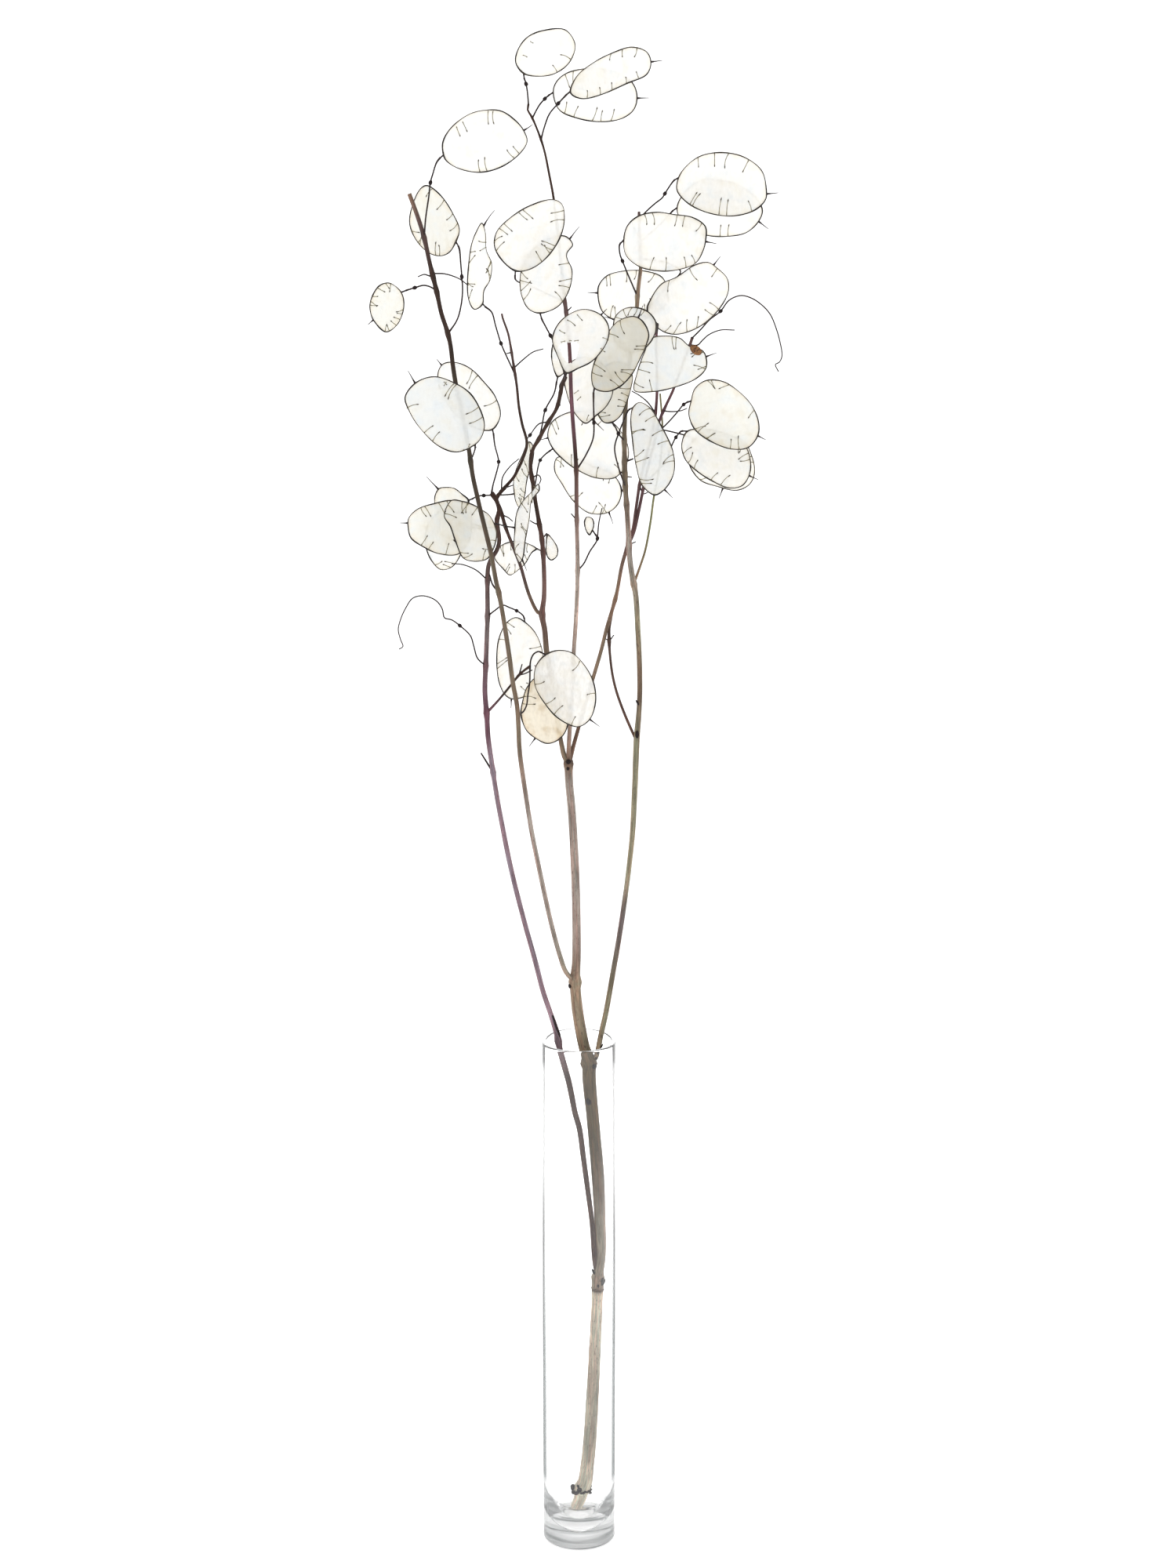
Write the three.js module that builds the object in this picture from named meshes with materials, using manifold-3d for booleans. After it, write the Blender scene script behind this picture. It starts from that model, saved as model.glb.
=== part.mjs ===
// Honesty (Lunaria annua) seed stem, dried, standing in a tall glass tube vase.
// Millimetres, +Z up, -Y toward the viewer, origin at the centre of the vase's underside.
//
// The stem grew without a plan, so its course is drawn by hand on an upright sheet, SHEET,
// which is seen in perspective from EYE. A route is a list of [across, down, depth, radius]:
// two sheet units, then millimetres behind the vase's axis and the radius there. A depth or
// radius that a point leaves out follows evenly from its neighbours.

import * as THREE from "three";
import { mergeVertices } from "three/addons/utils/BufferGeometryUtils.js";
import Module from "manifold-3d";

const wasm = await Module();
wasm.setup();

// ---- driving dimensions, millimetres and degrees -------------------------------------

const VASE = { radius: 20.4, height: 300, wall: 2.3, floor: 6.2, bowl: 30, heel: 1.5, segments: 32 };
const POD = { rimThick: 1.2, rimWidth: 1.1, septumThick: 0.6, outlinePoints: 16 };
const SEED_THREAD = {
  length: 6.5, radius: 0.5, spacing: 3.6, sunk: 0.4, lean: 50, places: [0.2, 0.8], roundShare: 14,
};
const STYLE = { radius: 0.55, tipRadius: 0.3, sunk: 0.8 };
const NUB = { length: 1.6, radius: 0.5, sunk: 0.9, clear: 0.4 };
const STALK = { radius: 0.45, sides: 3 };
const KNOT = { radius: 1.05, stretch: 1.5 };
const THREAD = { radius: 0.38, sides: 3 };
const SEED = { length: 7.2, width: 4.7, thick: 1.2, turn: 35, clear: 0.3 };
const RING_STEP = 4;
const BEND_ERROR = 0.5;
const BAR_SIDES = 3;

const SHEET = { width: 1500, height: 2000, focal: 4722 };
const EYE = new THREE.Vector3(5.1, -1939.9, 973.7);
const LOOK_DOWN = THREE.MathUtils.degToRad(15.2);
const ROOT_SEARCH_POINTS = 400;
const THREAD_DRAW = { seed: 7, factor: 16807, modulus: 2147483647 };
const FIRST_SIDE = new THREE.Vector3(1, 0.3, 0.2);

// ---- the branches, each from its root to its tip --------------------------------------

const BRANCHES = {
  main: {
    sides: 8,
    route: [
      [734.6, 1928.5, 5.3, 3.7], [740.3, 1910, 5, 3.8], [741, 1904, 4.9, 4], [741.6, 1899, 4.8, 5.2],
      [742.8, 1894, 4.7, 4.2], [746, 1888, 4.6, 3.7], [748.6, 1870, 4.4, 3.7], [751.8, 1840, 4],
      [757, 1760, 3, 3.6], [762, 1660, 2, 3.2], [762.8, 1641, 2, 3.6], [763.5, 1625, 1.8, 3],
      [767, 1600, 1, 2.9], [766, 1560, 1, 3.3], [763, 1500, 0.5, 3.7], [759.5, 1460],
      [755.7, 1420, 0, 3.6], [751.8, 1379, 0, 3.9], [750.8, 1354, 0, 3.8], [745, 1335, 0, 3.2],
      [736.4, 1287, 0, 3.1], [733.6, 1249, 0, 2.9], [735, 1230, 0, 2.4], [735.5, 1200],
      [735, 1160], [734.6, 1140, 0, 2.3], [733, 1100], [731, 1060], [728, 1020],
      [726, 1000, 0, 2.2], [725, 970, 0, 2.2],
    ],
  },
  leftLow: {
    sides: 6,
    root: "main",
    route: [
      [761, 1628, 1.5, 1.5], [759.3, 1611, 0.6], [755.2, 1560, -1, 1.45], [750, 1520], [744.5, 1480],
      [739, 1440], [733.4, 1420], [729.5, 1400], [725, 1379, -5], [714.4, 1340],
      [709.7, 1316, -6, 1.7], [702, 1292, -6.5, 1.4], [692.4, 1263.5], [683.8, 1230, -8], [670, 1180],
      [659.5, 1140], [650, 1100], [642, 1060], [634.5, 1020], [631, 999, -12, 1.3], [627.6, 975.5],
      [622.5, 940], [621, 914, -12, 1.4], [618.5, 881], [620, 839.5, -12], [621.8, 786, -12, 1.25],
      [621.8, 740, -14], [623, 722, -15], [627.5, 711, -16], [632.5, 704, -15], [636.5, 693, -14],
      [636.5, 683, -13], [634, 672, -12], [634, 662, -11], [636.5, 651, -10], [633, 638, -9],
      [627, 629, -9, 1.1],
    ],
  },
  leftHigh: {
    sides: 6,
    root: "main",
    route: [
      [726, 1253, -2, 1.3], [722, 1240], [714.5, 1220, -4], [703.5, 1180], [694.5, 1140],
      [686, 1100], [678, 1060], [671.5, 1020], [668.5, 1000, -20, 1.25], [663, 960],
      [661, 920, -27], [659.5, 900], [654, 870], [650, 840, -32], [644, 800], [637, 760, -37],
      [632.5, 740], [626, 705, -41], [620.5, 682], [614.8, 659], [608, 630, -44], [603, 607],
      [598, 573, -45], [590, 530], [581.6, 491, -47], [577.6, 465.5], [574.5, 440],
      [570, 421, -49], [563, 400], [557, 372, -50, 1.15], [548, 335, -50], [541, 303, -49],
      [534, 280], [522, 247, -48, 1.1],
    ],
  },
  right: {
    sides: 6,
    root: "main",
    route: [
      [757, 1358, 0, 1.5], [760.4, 1350], [763, 1338, 0], [766.5, 1320], [772.8, 1292, 2],
      [782, 1240], [789, 1200], [798, 1140], [803, 1100, 10, 1.4], [807, 1060], [809, 1020],
      [810, 1000], [812, 945, 18, 1.7], [815.5, 900, 19, 1.4], [816, 860], [813.5, 800],
      [811, 760], [807.5, 740, 22, 1.5], [803.8, 718], [801.5, 680], [799, 640],
      [797.5, 620, 24, 1.3], [796.5, 580], [797, 535, 24], [803, 463], [812.4, 391, 24, 1.1],
      [813, 378], [815, 360], [817, 343, 23], [816, 305, 22, 0.9], [815, 270, 20, 0.7],
    ],
  },
  middleLeft: {
    sides: 6,
    root: "main",
    route: [
      [725, 973, 0, 1.5], [720, 965, 0, 1.4], [715.4, 945, 1, 1.25], [711, 920, 0], [706, 890, -1],
      [701, 855, -2], [697, 829, -3, 1.5], [694.8, 804, -3], [691.5, 784, -4, 1.5], [694, 760, -5, 1.25],
      [693.5, 719, -7], [691.2, 688, -8], [687.3, 665, -8], [682.8, 639, -9], [680, 618, -10],
      [676.8, 596.5, -12], [679, 575, -15], [687.3, 560, -17], [699.6, 538, -20],
      [710.3, 520, -23], [717, 492, -24], [721, 481, -26, 0.9],
    ],
  },
  leader: {
    sides: 6,
    root: "main",
    route: [
      [725, 973, 0, 1.5], [725.6, 951, -1, 1.2], [727, 925, -2], [730, 880, -3], [732, 830, -5],
      [733.7, 804, -6], [736, 760, -8], [736.8, 719, -10], [736, 682, -12], [735.4, 640, -14],
      [735, 600, -15.5], [733.3, 570, -17.5], [730.5, 535, -19], [728.4, 500, -20],
      [727.6, 470, -20.5], [726.4, 445, -20], [722.7, 403, -15, 1], [720, 381, -11], [715, 330, -6],
      [706, 252, -1, 0.65], [700, 220, 0], [695, 195, 1], [690, 178, 2], [681, 155, 3],
      [677, 147, 3.5], [673, 140, 4], [674, 133, 4, 0.5],
    ],
  },
  inner: {
    sides: 5,
    root: "middleLeft",
    route: [
      [691, 786, -4, 1.1], [686, 781, -3.5, 1], [675, 759, 0, 0.95], [663, 719, 2], [654, 696, 2],
      [644.5, 671.5, 3], [638, 648, 4], [633.5, 636, 5], [643, 623, 6], [655, 609, 6], [660, 600, 7],
      [666, 587, 8], [672, 566, 8, 0.8], [666, 541, 6], [662, 520, 4], [659, 491, 2], [655, 465, 0],
      [651, 440, -1], [648, 425, -3], [641, 405, -4], [640, 400, -4, 0.55],
    ],
  },
  arch: {
    sides: 6,
    root: "main",
    route: [
      [725, 973, 0, 1.5], [731.5, 951, 4, 1.1], [737.4, 930, 7, 1.05], [747, 897, 14], [757, 863, 19],
      [766.7, 830, 23], [774, 801, 27], [785.8, 760, 31], [794, 718, 34], [803, 690, 36, 1],
    ],
  },
  archInner: {
    sides: 5,
    root: "arch",
    route: [
      [802, 694, 36, 0.95], [807, 676, 36, 0.85], [811, 650], [815.7, 619, 36], [822, 590], [830, 560],
      [836, 527, 36], [838, 500, 36], [838, 470, 33], [837, 440, 30], [838, 412, 26, 0.75],
    ],
  },
  archOuter: {
    sides: 5,
    root: "arch",
    route: [
      [802, 694, 36, 0.95], [808, 680], [814, 655], [820, 626, 36, 0.85], [828, 590], [835, 562],
      [841, 537, 36], [850, 516], [858, 499, 35], [867, 475, 34], [876, 450, 31], [880, 440, 29],
      [883, 431, 26, 0.7],
    ],
  },
  greenTwig: {
    sides: 5,
    root: "right",
    route: [
      [808, 743, 22, 0.8], [818, 718, 26, 0.65], [823, 702, 29], [829.7, 666, 33], [834, 634, 36.5],
      [842, 590, 39], [845, 550, 40], [842, 502, 40, 0.5],
    ],
  },
  greyTwig: {
    sides: 5,
    root: "arch",
    route: [
      [785, 763, 31, 0.7], [783, 770, 30.5], [779, 790], [777, 802], [777, 818, 27, 0.9],
      [778, 835, 26, 0.7], [781, 859.5], [786, 881], [793.6, 903], [802.5, 924.5], [811, 943, 18, 0.8],
    ],
  },
  lowTwig: {
    sides: 5,
    root: "leftLow",
    route: [
      [621, 911, -12, 0.8], [635, 894, -15, 0.65], [650, 876, -20], [662, 861, -23], [670, 854, -25],
      [676, 850, -26, 0.6],
    ],
  },
};

// ---- bare threads, broken stubs and bracts, each from its root outward ------------------
// A root is a branch, or a pod whose stalk bears the thread.

const THREADS = [
  {
    root: "leftLow",
    route: [
      [619, 849], [609, 839.5, -16], [604, 823, -19], [600, 811, -21], [586.5, 798, -24], [576, 790.6],
      [567, 788], [564, 776.5], [556, 766], [540, 760, -31], [526.5, 763], [517, 776.5], [511, 790],
      [508, 803], [511, 816], [514, 824.6], [509, 828, -35],
    ],
    knot: 4,
  },
  { root: "leftLow", route: [[621.8, 740], [607, 727, -17], [589.5, 720, -19], [576, 719, -20]] },
  { root: "leftHigh", route: [[551, 352], [545, 351, -51], [541, 350, -52], [533, 353, -53]] },
  {
    root: "leftHigh",
    route: [[552, 351], [565, 349, -46], [580, 353, -38], [588, 357, -34], [597, 364, -30]],
  },
  { root: "inner", route: [[656, 470], [668, 458, -3], [680, 449, -5], [693, 445, -8]] },
  {
    root: "inner",
    route: [[635, 634], [639, 627, 7], [641, 609, 9], [650.6, 595, 11], [662, 585, 12]],
    knot: 1,
  },
  { root: "inner", route: [[641, 625], [648, 621, 3], [654, 619, 1]] },
  { root: "inner", route: [[640, 657], [648, 660, 1], [654, 665, -1]] },
  { root: "inner", route: [[652, 452], [646, 451, 0]] },
  { root: "middleLeft", route: [[699.6, 537], [687, 541, -16], [676, 555, -13], [673, 559, -12]], knot: 2 },
  { root: "middleLeft", route: [[680, 608], [687, 606, -12], [690, 611, -13], [688, 617, -14]] },
  { root: "middleLeft", route: [[687, 669], [681, 667, -9], [676, 664, -10]] },
  { root: "middleLeft", route: [[711, 516], [715, 517, -24]] },
  { root: "pod_middle_10", route: [[762, 687], [764, 666, -1], [768, 648, 0]] },
  { root: "leader", route: [[735.5, 664], [728.4, 655, -13]] },
  { root: "leader", route: [[723, 400], [729, 391.5, -15]] },
  {
    root: "archOuter",
    route: [
      [883, 432], [894, 420, 22], [905, 408, 20], [919, 397, 18], [930, 383, 16], [945, 377, 14],
      [960, 381, 12], [975, 392, 10], [983, 402, 9], [989, 416, 8], [995, 435, 8], [998, 454, 8],
      [994, 462, 9], [989, 465, 10], [993, 474, 10],
    ],
    knot: 3,
  },
  {
    root: "archOuter",
    route: [[880, 440], [890, 440, 26], [896, 434, 25], [904, 427, 24], [919, 421, 22], [937, 421, 21]],
  },
  { root: "archOuter", route: [[847, 524], [857, 525, 29], [868, 524, 22], [876, 521, 15]] },
  { root: "archInner", route: [[836, 526], [826, 513, 33], [815, 504, 30], [806, 499, 26]] },
  { root: "archInner", route: [[816, 620], [821, 630, 38], [826, 628, 39]] },
  { root: "arch", route: [[801, 700], [796, 706, 37]] },
  { root: "greyTwig", route: [[777, 818], [773, 815, 28]] },
  { root: "greyTwig", route: [[777, 818], [783, 810, 26]] },
  { root: "right", route: [[798, 590], [808, 585, 24]], radius: 0.6 },
  { root: "right", route: [[798, 607], [806, 608.5, 25]] },
  { root: "right", route: [[798, 602], [791, 603, 23]] },
  { root: "right", route: [[802, 693], [811, 691, 25]] },
  { root: "right", route: [[816, 305], [806, 285, 22]] },
  { root: "leftLow", route: [[629, 983], [613.5, 960.5, -11]], radius: 0.6 },
  { root: "leftLow", route: [[709.7, 1317], [716, 1309, -4]], radius: 0.9 },
  { root: "leftHigh", route: [[633, 755], [628, 745, -35], [624.5, 733, -34]], radius: 0.55 },
  { root: "lowTwig", route: [[663, 860], [666, 847, -23]] },
  { root: "lowTwig", route: [[661, 862], [670, 859, -20], [679, 854.5, -19]] },
];

// ---- the pods ---------------------------------------------------------------------------
// rim: the outline, first point at the stalk, drawn on the sheet; it lies in a plane at the
// given depth, with yaw turning its right side away from the viewer and pitch its top back.
// style: the end of the style. stalk: from the pod to the branch that bears it, its last
// point seated on that branch. knot: the stalk point that is swollen. threads: seed threads,
// from the rim inward; a pod without them gets its own by rule.

const PODS = [
  {
    name: "pod_crown_1", depth: 8, yaw: 20, pitch: 10,
    rim: [
      [667, 95], [656, 80], [659, 63], [672, 46], [694, 37], [722, 37], [735, 57], [728, 80],
      [709, 95], [688, 99],
    ],
    stalk: [[671, 107], [673, 120], [674, 134]], knot: 0, root: "leader",
  },
  {
    name: "pod_crown_2", depth: -12, yaw: -15, pitch: 0,
    rim: [
      [726, 117], [735, 96], [757, 78], [783, 65], [806, 58.5], [826, 65], [832, 80], [826, 96],
      [800, 108], [765, 123], [743, 127.5], [730, 123],
    ],
    style: [845, 77],
    stalk: [[712, 132], [701, 145], [695, 160], [690, 177]], knot: 0, root: "leader",
  },
  {
    name: "pod_crown_3", depth: 16, yaw: 10, pitch: 0,
    rim: [
      [704, 118], [708, 104], [720, 93], [740, 87], [765, 86], [790, 92], [808, 105], [814, 122],
      [810, 140], [795, 152], [768, 157], [735, 152], [712, 141],
    ],
    style: [828, 125],
    stalk: [[695, 126], [688, 134], [680, 151]], knot: 0, root: "leader",
  },
  {
    name: "pod_left_1", depth: -60, yaw: 15, pitch: -10,
    rim: [
      [564, 198], [563, 181], [573, 163], [597, 145], [620, 139], [640, 140], [658, 152], [669, 165],
      [674, 181], [663, 198], [638, 215], [611, 221.5], [583, 216], [568, 206],
    ],
    style: [680, 159],
    threads: [
      [[580, 160], [587, 174]], [[589, 153], [596, 169]], [[610, 219], [608, 203]],
      [[619, 219], [616, 201]],
    ],
    stalk: [[557, 207], [552, 222], [549, 233, -55], [547, 250, -55], [543, 278, -53], [541, 303]],
    knot: 2, root: "leftHigh",
  },
  {
    name: "pod_left_2", depth: -36, yaw: -30, pitch: 0,
    rim: [
      [583, 309], [574, 323], [562, 328], [547, 324], [530, 307], [521, 285], [524, 262], [535, 240],
      [545, 235], [563, 248], [580, 273], [588, 293],
    ],
    stalk: [[586, 318], [588, 340], [589, 353], [590, 370], [588, 390], [583, 408], [572, 424]],
    knot: 2, root: "leftHigh",
  },
  {
    name: "pod_left_3", depth: -55, yaw: 30, pitch: 0,
    rim: [
      [513, 372], [497, 359.5], [482, 364], [471, 384], [471, 399], [476, 411], [492, 425], [509, 414],
      [517, 391],
    ],
    style: [469, 414],
    stalk: [[529, 367], [541, 364], [551, 367], [557, 373]], knot: 0, root: "leftHigh",
  },
  {
    name: "pod_left_4", depth: -62, yaw: 10, pitch: -5,
    rim: [
      [607, 568], [583, 578], [560, 571], [536, 549], [521, 526], [515, 506], [529, 487], [553, 479],
      [578, 486], [600, 500], [614, 522], [619.5, 543], [615, 559],
    ],
    style: [520.5, 473],
    threads: [
      [[579.6, 490], [567, 506]], [[612, 518.6], [593.4, 528]], [[616, 532], [598, 540.5]],
      [[549, 563], [561, 550]],
    ],
    stalk: [[605, 576], [600, 587]], root: "leftHigh",
  },
  {
    name: "pod_inner_1", depth: -8, yaw: 60, pitch: 0,
    rim: [
      [615, 388], [604, 396], [597, 382], [597, 345], [600, 312], [607, 294], [615, 283], [620, 297],
      [621, 318], [628, 337], [625, 358], [617, 372],
    ],
    style: [630, 268],
    stalk: [[627, 398], [632, 415], [639, 438], [645, 452], [656, 478]], knot: 2, root: "inner",
  },
  {
    name: "pod_inner_2", depth: 18, yaw: -60, pitch: 0,
    rim: [
      [656, 630], [655, 615], [658, 598], [666, 578], [675, 562], [681, 570], [680, 590], [673, 612],
      [670, 633], [664, 650], [658, 641],
    ],
    stalk: [[647, 631], [637, 631]], root: "inner",
  },
  {
    name: "pod_inner_3", depth: -18, yaw: -60, pitch: 0,
    rim: [
      [657, 673], [659, 653], [667, 637], [679, 625], [687, 616], [689, 625], [678, 641], [675, 662],
      [671, 688], [668, 712], [663, 719], [656, 700],
    ],
    style: [673, 728],
    stalk: [[650, 672], [644, 671]], root: "inner",
  },
  {
    name: "pod_inner_4", depth: -28, yaw: 10, pitch: 0,
    rim: [
      [632, 668], [625, 656], [615, 649], [605, 643], [590, 638], [575, 637], [565, 658], [573, 672],
      [580, 692], [590, 713], [604, 717.5], [622, 714], [631, 700], [635, 684],
    ],
    style: [569, 652],
    stalk: [[637, 669], [643, 670]], root: "inner",
  },
  {
    name: "pod_middle_1", depth: -34, yaw: -10, pitch: 0,
    rim: [
      [657, 347], [639, 333], [629, 314], [632, 295], [648, 278], [675, 261], [705, 253], [718, 260],
      [721, 283], [714, 307], [697, 331], [676, 345],
    ],
    stalk: [[657, 355, -31], [662, 360, -22], [672, 363, -15], [690, 371, -12], [719, 388]],
    root: "leader",
  },
  {
    name: "pod_middle_2", depth: -21, yaw: 28, pitch: 0,
    rim: [
      [689, 401], [673, 395], [663, 374], [663, 347], [676, 320], [700, 303], [722, 300], [732, 312],
      [724, 325], [731, 345], [727, 371], [713, 392],
    ],
    style: [739, 289],
    stalk: [[691, 407], [702, 428, -27], [712, 449, -26], [722, 483]], knot: 1, root: "middleLeft",
  },
  {
    name: "pod_middle_3", depth: -36, yaw: 0, pitch: 0,
    rim: [
      [722, 477], [710, 455], [703, 433], [711, 412], [728, 398], [746, 393], [768, 401], [778, 417],
      [775, 438], [757, 461], [738, 471],
    ],
    tear: [[712, 440], [722, 436], [737, 437], [735, 455], [731, 468], [724, 470], [718, 458]],
    style: [774, 394],
    stalk: [[721, 483]], root: "middleLeft",
  },
  {
    name: "pod_middle_4", depth: -12, yaw: 0, pitch: 0,
    rim: [
      [757, 496], [753, 480], [757, 461], [768, 440], [778, 418], [790, 407], [808, 402], [820, 408],
      [829, 426], [825, 442], [815, 464], [808, 477], [792, 494], [774, 501],
    ],
    style: [820, 390],
    stalk: [[757, 515], [757.6, 539], [756.5, 559], [747, 581], [735, 602]], knot: 1, root: "leader",
  },
  {
    name: "pod_middle_5", depth: 0, yaw: 10, pitch: 0,
    rim: [
      [718, 484], [721, 500], [730, 525], [747, 541.5], [760, 532], [775, 518], [783, 500], [780, 478],
      [765, 460], [742, 454], [724, 464],
    ],
    style: [770, 549],
    stalk: [[714, 492], [716, 500]], root: "middleLeft",
  },
  {
    name: "pod_middle_6", depth: -12, yaw: 0, pitch: 0,
    rim: [[711, 482], [704, 468], [702, 450], [705, 437], [712, 445], [718, 458], [722, 474]],
    stalk: [[707, 501], [695.5, 523], [691, 545], [687, 560]], knot: 1, root: "middleLeft",
  },
  {
    name: "pod_middle_7", depth: 36, yaw: 8, pitch: 0,
    rim: [
      [704, 573], [697, 556], [703, 537], [728, 524], [757, 526], [785, 540], [802, 568], [801, 590],
      [786, 610], [760, 611], [733, 599], [716, 586],
    ],
    style: [690, 561],
    stalk: [[695, 580], [689, 587], [686, 597], [684, 610], [682, 628]], knot: 1, root: "middleLeft",
  },
  {
    name: "pod_middle_8", depth: 8, yaw: 0, pitch: 0,
    rim: [[698, 680], [706, 687], [713, 701], [711, 711], [703, 716], [697, 711], [695, 695]],
    stalk: [[696, 682], [691.5, 688]], root: "middleLeft",
  },
  {
    name: "pod_middle_9", depth: 22, yaw: 55, pitch: 0,
    rim: [
      [685, 700], [678, 706], [670, 720], [662, 728], [650, 735], [641, 727], [630, 711], [636, 697],
      [650, 690], [668, 690],
    ],
    stalk: [[689, 702], [692.5, 704]], root: "middleLeft",
  },
  {
    name: "pod_middle_10", depth: -3, yaw: 0, pitch: 0,
    rim: [[757, 677], [752, 684], [747, 679], [744, 665], [748, 658], [756, 660], [759, 668]],
    stalk: [[762, 687], [752, 704, -6], [744.5, 719, -9], [737, 727]], knot: 0, root: "leader",
  },
  {
    name: "pod_right_1", depth: 12, yaw: 0, pitch: 0,
    rim: [
      [864, 226], [862, 243], [876, 260], [903, 273], [935, 277], [964, 269], [978, 255], [979, 241],
      [973, 217], [950, 199], [920, 193], [892, 198], [874, 211],
    ],
    style: [993, 246],
    stalk: [[858, 232], [848, 247], [845, 252], [835, 260], [823, 271], [815.5, 279]],
    knot: 1, root: "right",
  },
  {
    name: "pod_right_2", depth: 24, yaw: 0, pitch: 0,
    rim: [
      [862, 265], [870, 247], [892, 229], [918, 228], [945, 236], [965, 251], [974, 268], [969, 283],
      [953, 298], [930, 303], [903, 302], [880, 294], [866, 280],
    ],
    style: [980, 292],
    stalk: [[857, 270], [845, 283], [830, 297], [816, 310]], root: "right",
  },
  {
    name: "pod_right_3", depth: 6, yaw: -8, pitch: 0,
    rim: [
      [794, 306], [797, 326], [814, 341], [838, 347], [863, 346], [888, 337], [898, 321], [902, 305],
      [901, 288], [884, 276], [860, 272], [838, 269], [814, 274], [799, 287],
    ],
    style: [914, 311],
    stalk: [[790, 313], [791, 325], [794, 333], [800, 348], [806, 362], [813, 376]],
    knot: 2, root: "right",
  },
  {
    name: "pod_right_4", depth: 40, yaw: 0, pitch: 0,
    rim: [
      [852, 372], [846, 353], [822, 344], [796, 344], [774, 350], [763, 362], [761, 375], [767, 398],
      [785, 410], [812, 412], [838, 398],
    ],
    style: [749, 373],
    stalk: [[852, 384], [845, 393], [830, 400], [811, 406]], knot: 1, root: "right",
  },
  {
    name: "pod_right_5", depth: 14, yaw: 10, pitch: 0,
    rim: [
      [824, 395], [829, 381], [843, 361], [862, 352], [885, 337], [903, 333], [916, 341], [929, 355],
      [930, 373], [917, 397], [893, 418], [862, 428], [840, 421],
    ],
    style: [919, 327],
    stalk: [[838, 381, 17], [848, 368, 19], [864, 353, 20], [868, 346, 21], [850, 335, 22], [817, 330]],
    knot: 1, root: "right",
  },
  {
    name: "pod_right_6", depth: 12, yaw: 0, pitch: 0,
    rim: [
      [781, 540], [770, 540], [761, 528], [757, 503], [762, 478], [778, 462], [798, 462], [808, 478],
      [806, 496], [799, 518], [792, 532],
    ],
    stalk: [[785, 545], [788.7, 553], [796.5, 562]], knot: 1, root: "right",
  },
  {
    name: "pod_right_7", depth: 8, yaw: 0, pitch: 0,
    rim: [
      [806, 519], [803, 534], [805, 560], [810, 595], [818, 620], [835, 633], [850, 624], [861, 603],
      [860, 576], [846, 545], [829, 518], [815, 511.5],
    ],
    style: [858, 635],
    stalk: [
      [801, 524], [797, 533, 12], [789, 553, 14], [784, 571, 16], [788, 593, 18], [795, 614, 20],
      [797.5, 622],
    ],
    knot: 2, root: "right",
  },
  {
    name: "pod_right_8", depth: 48, yaw: -20, pitch: 0,
    rim: [
      [794, 624], [790, 643], [776, 655], [751, 656], [731, 641], [716, 618], [706, 600], [709, 583],
      [728, 582], [755, 592], [784, 606],
    ],
    style: [782, 668],
    stalk: [[797, 630], [799, 642]], root: "right",
  },
  {
    name: "pod_arch_1", depth: 20, yaw: -8, pitch: 0,
    rim: [
      [829, 431], [850, 427], [868, 430], [880, 440], [897, 446], [902, 455], [902, 470], [889, 484],
      [862, 495], [833, 501], [808, 499], [811, 476], [820, 450],
    ],
    style: [914, 450],
    stalk: [[831, 425], [838, 417]], root: "archInner",
  },
  {
    name: "pod_arch_2", depth: 2, yaw: 0, pitch: 0,
    rim: [
      [838, 411], [828, 397], [813, 391], [797, 392], [785, 401], [781, 412], [784, 438], [802, 450],
      [822, 446], [836, 428],
    ],
    style: [771, 404],
    stalk: [[839, 414, 4], [838, 424.5, 12], [838, 423, 20], [838, 418]], root: "archInner",
  },
  {
    name: "pod_arch_3", depth: 4, yaw: 0, pitch: 0,
    rim: [
      [880, 511], [877, 528], [884, 547], [902, 562], [932, 574], [955, 572], [968, 556], [969, 538],
      [960, 516], [942, 497], [922, 485], [900, 484], [885, 495],
    ],
    style: [977, 561],
    stalk: [[872, 516], [862, 528], [847, 544], [839, 550]], knot: 0, root: "archOuter",
  },
  {
    name: "pod_arch_4", depth: 18, yaw: 0, pitch: 0,
    rim: [
      [876, 549], [868, 567], [873, 587], [888, 602], [908, 615], [930, 624], [947, 621], [956, 609],
      [959, 592], [952, 568], [930, 553], [900, 546],
    ],
    style: [967, 612],
    stalk: [[869, 550, 18], [862, 558, 22], [857, 568, 26], [848, 590, 31], [822, 615]],
    knot: 1, root: "archOuter",
  },
  {
    name: "pod_arch_5", depth: 30, yaw: 0, pitch: 0,
    rim: [
      [884, 560], [874, 575], [879, 596], [893, 614], [915, 622], [940, 627], [957, 619], [964, 603],
      [960, 580], [950, 562], [925, 552], [900, 550],
    ],
    style: [917, 636],
    stalk: [[876, 556, 31], [862, 552, 33], [838, 548]], root: "archOuter",
  },
  {
    name: "pod_low_1", depth: -18, yaw: -5, pitch: 0,
    rim: [
      [603, 668], [600, 646], [577, 637], [553, 641], [532, 648], [520, 660], [519, 673], [523, 687],
      [540, 699], [560, 707.5], [585, 708], [599, 692],
    ],
    style: [510, 667],
    stalk: [[612, 671], [622, 673], [631, 672], [634, 663]], root: "leftLow",
  },
  {
    name: "pod_low_2", depth: 2, yaw: 0, pitch: 0,
    rim: [
      [599, 638], [590, 629], [580, 621.5], [569, 620], [559, 622], [553, 634], [556, 652], [575, 662],
      [593, 655],
    ],
    style: [544, 608],
    stalk: [[609, 633], [617, 632], [627, 632], [630, 634]], knot: 1, root: "leftLow",
  },
  {
    name: "pod_low_3", depth: -8, yaw: 0, pitch: 0,
    rim: [
      [596, 672], [585, 650], [562, 650], [545, 668], [541, 692], [548, 714], [562, 728], [578, 724],
      [592, 700],
    ],
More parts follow.
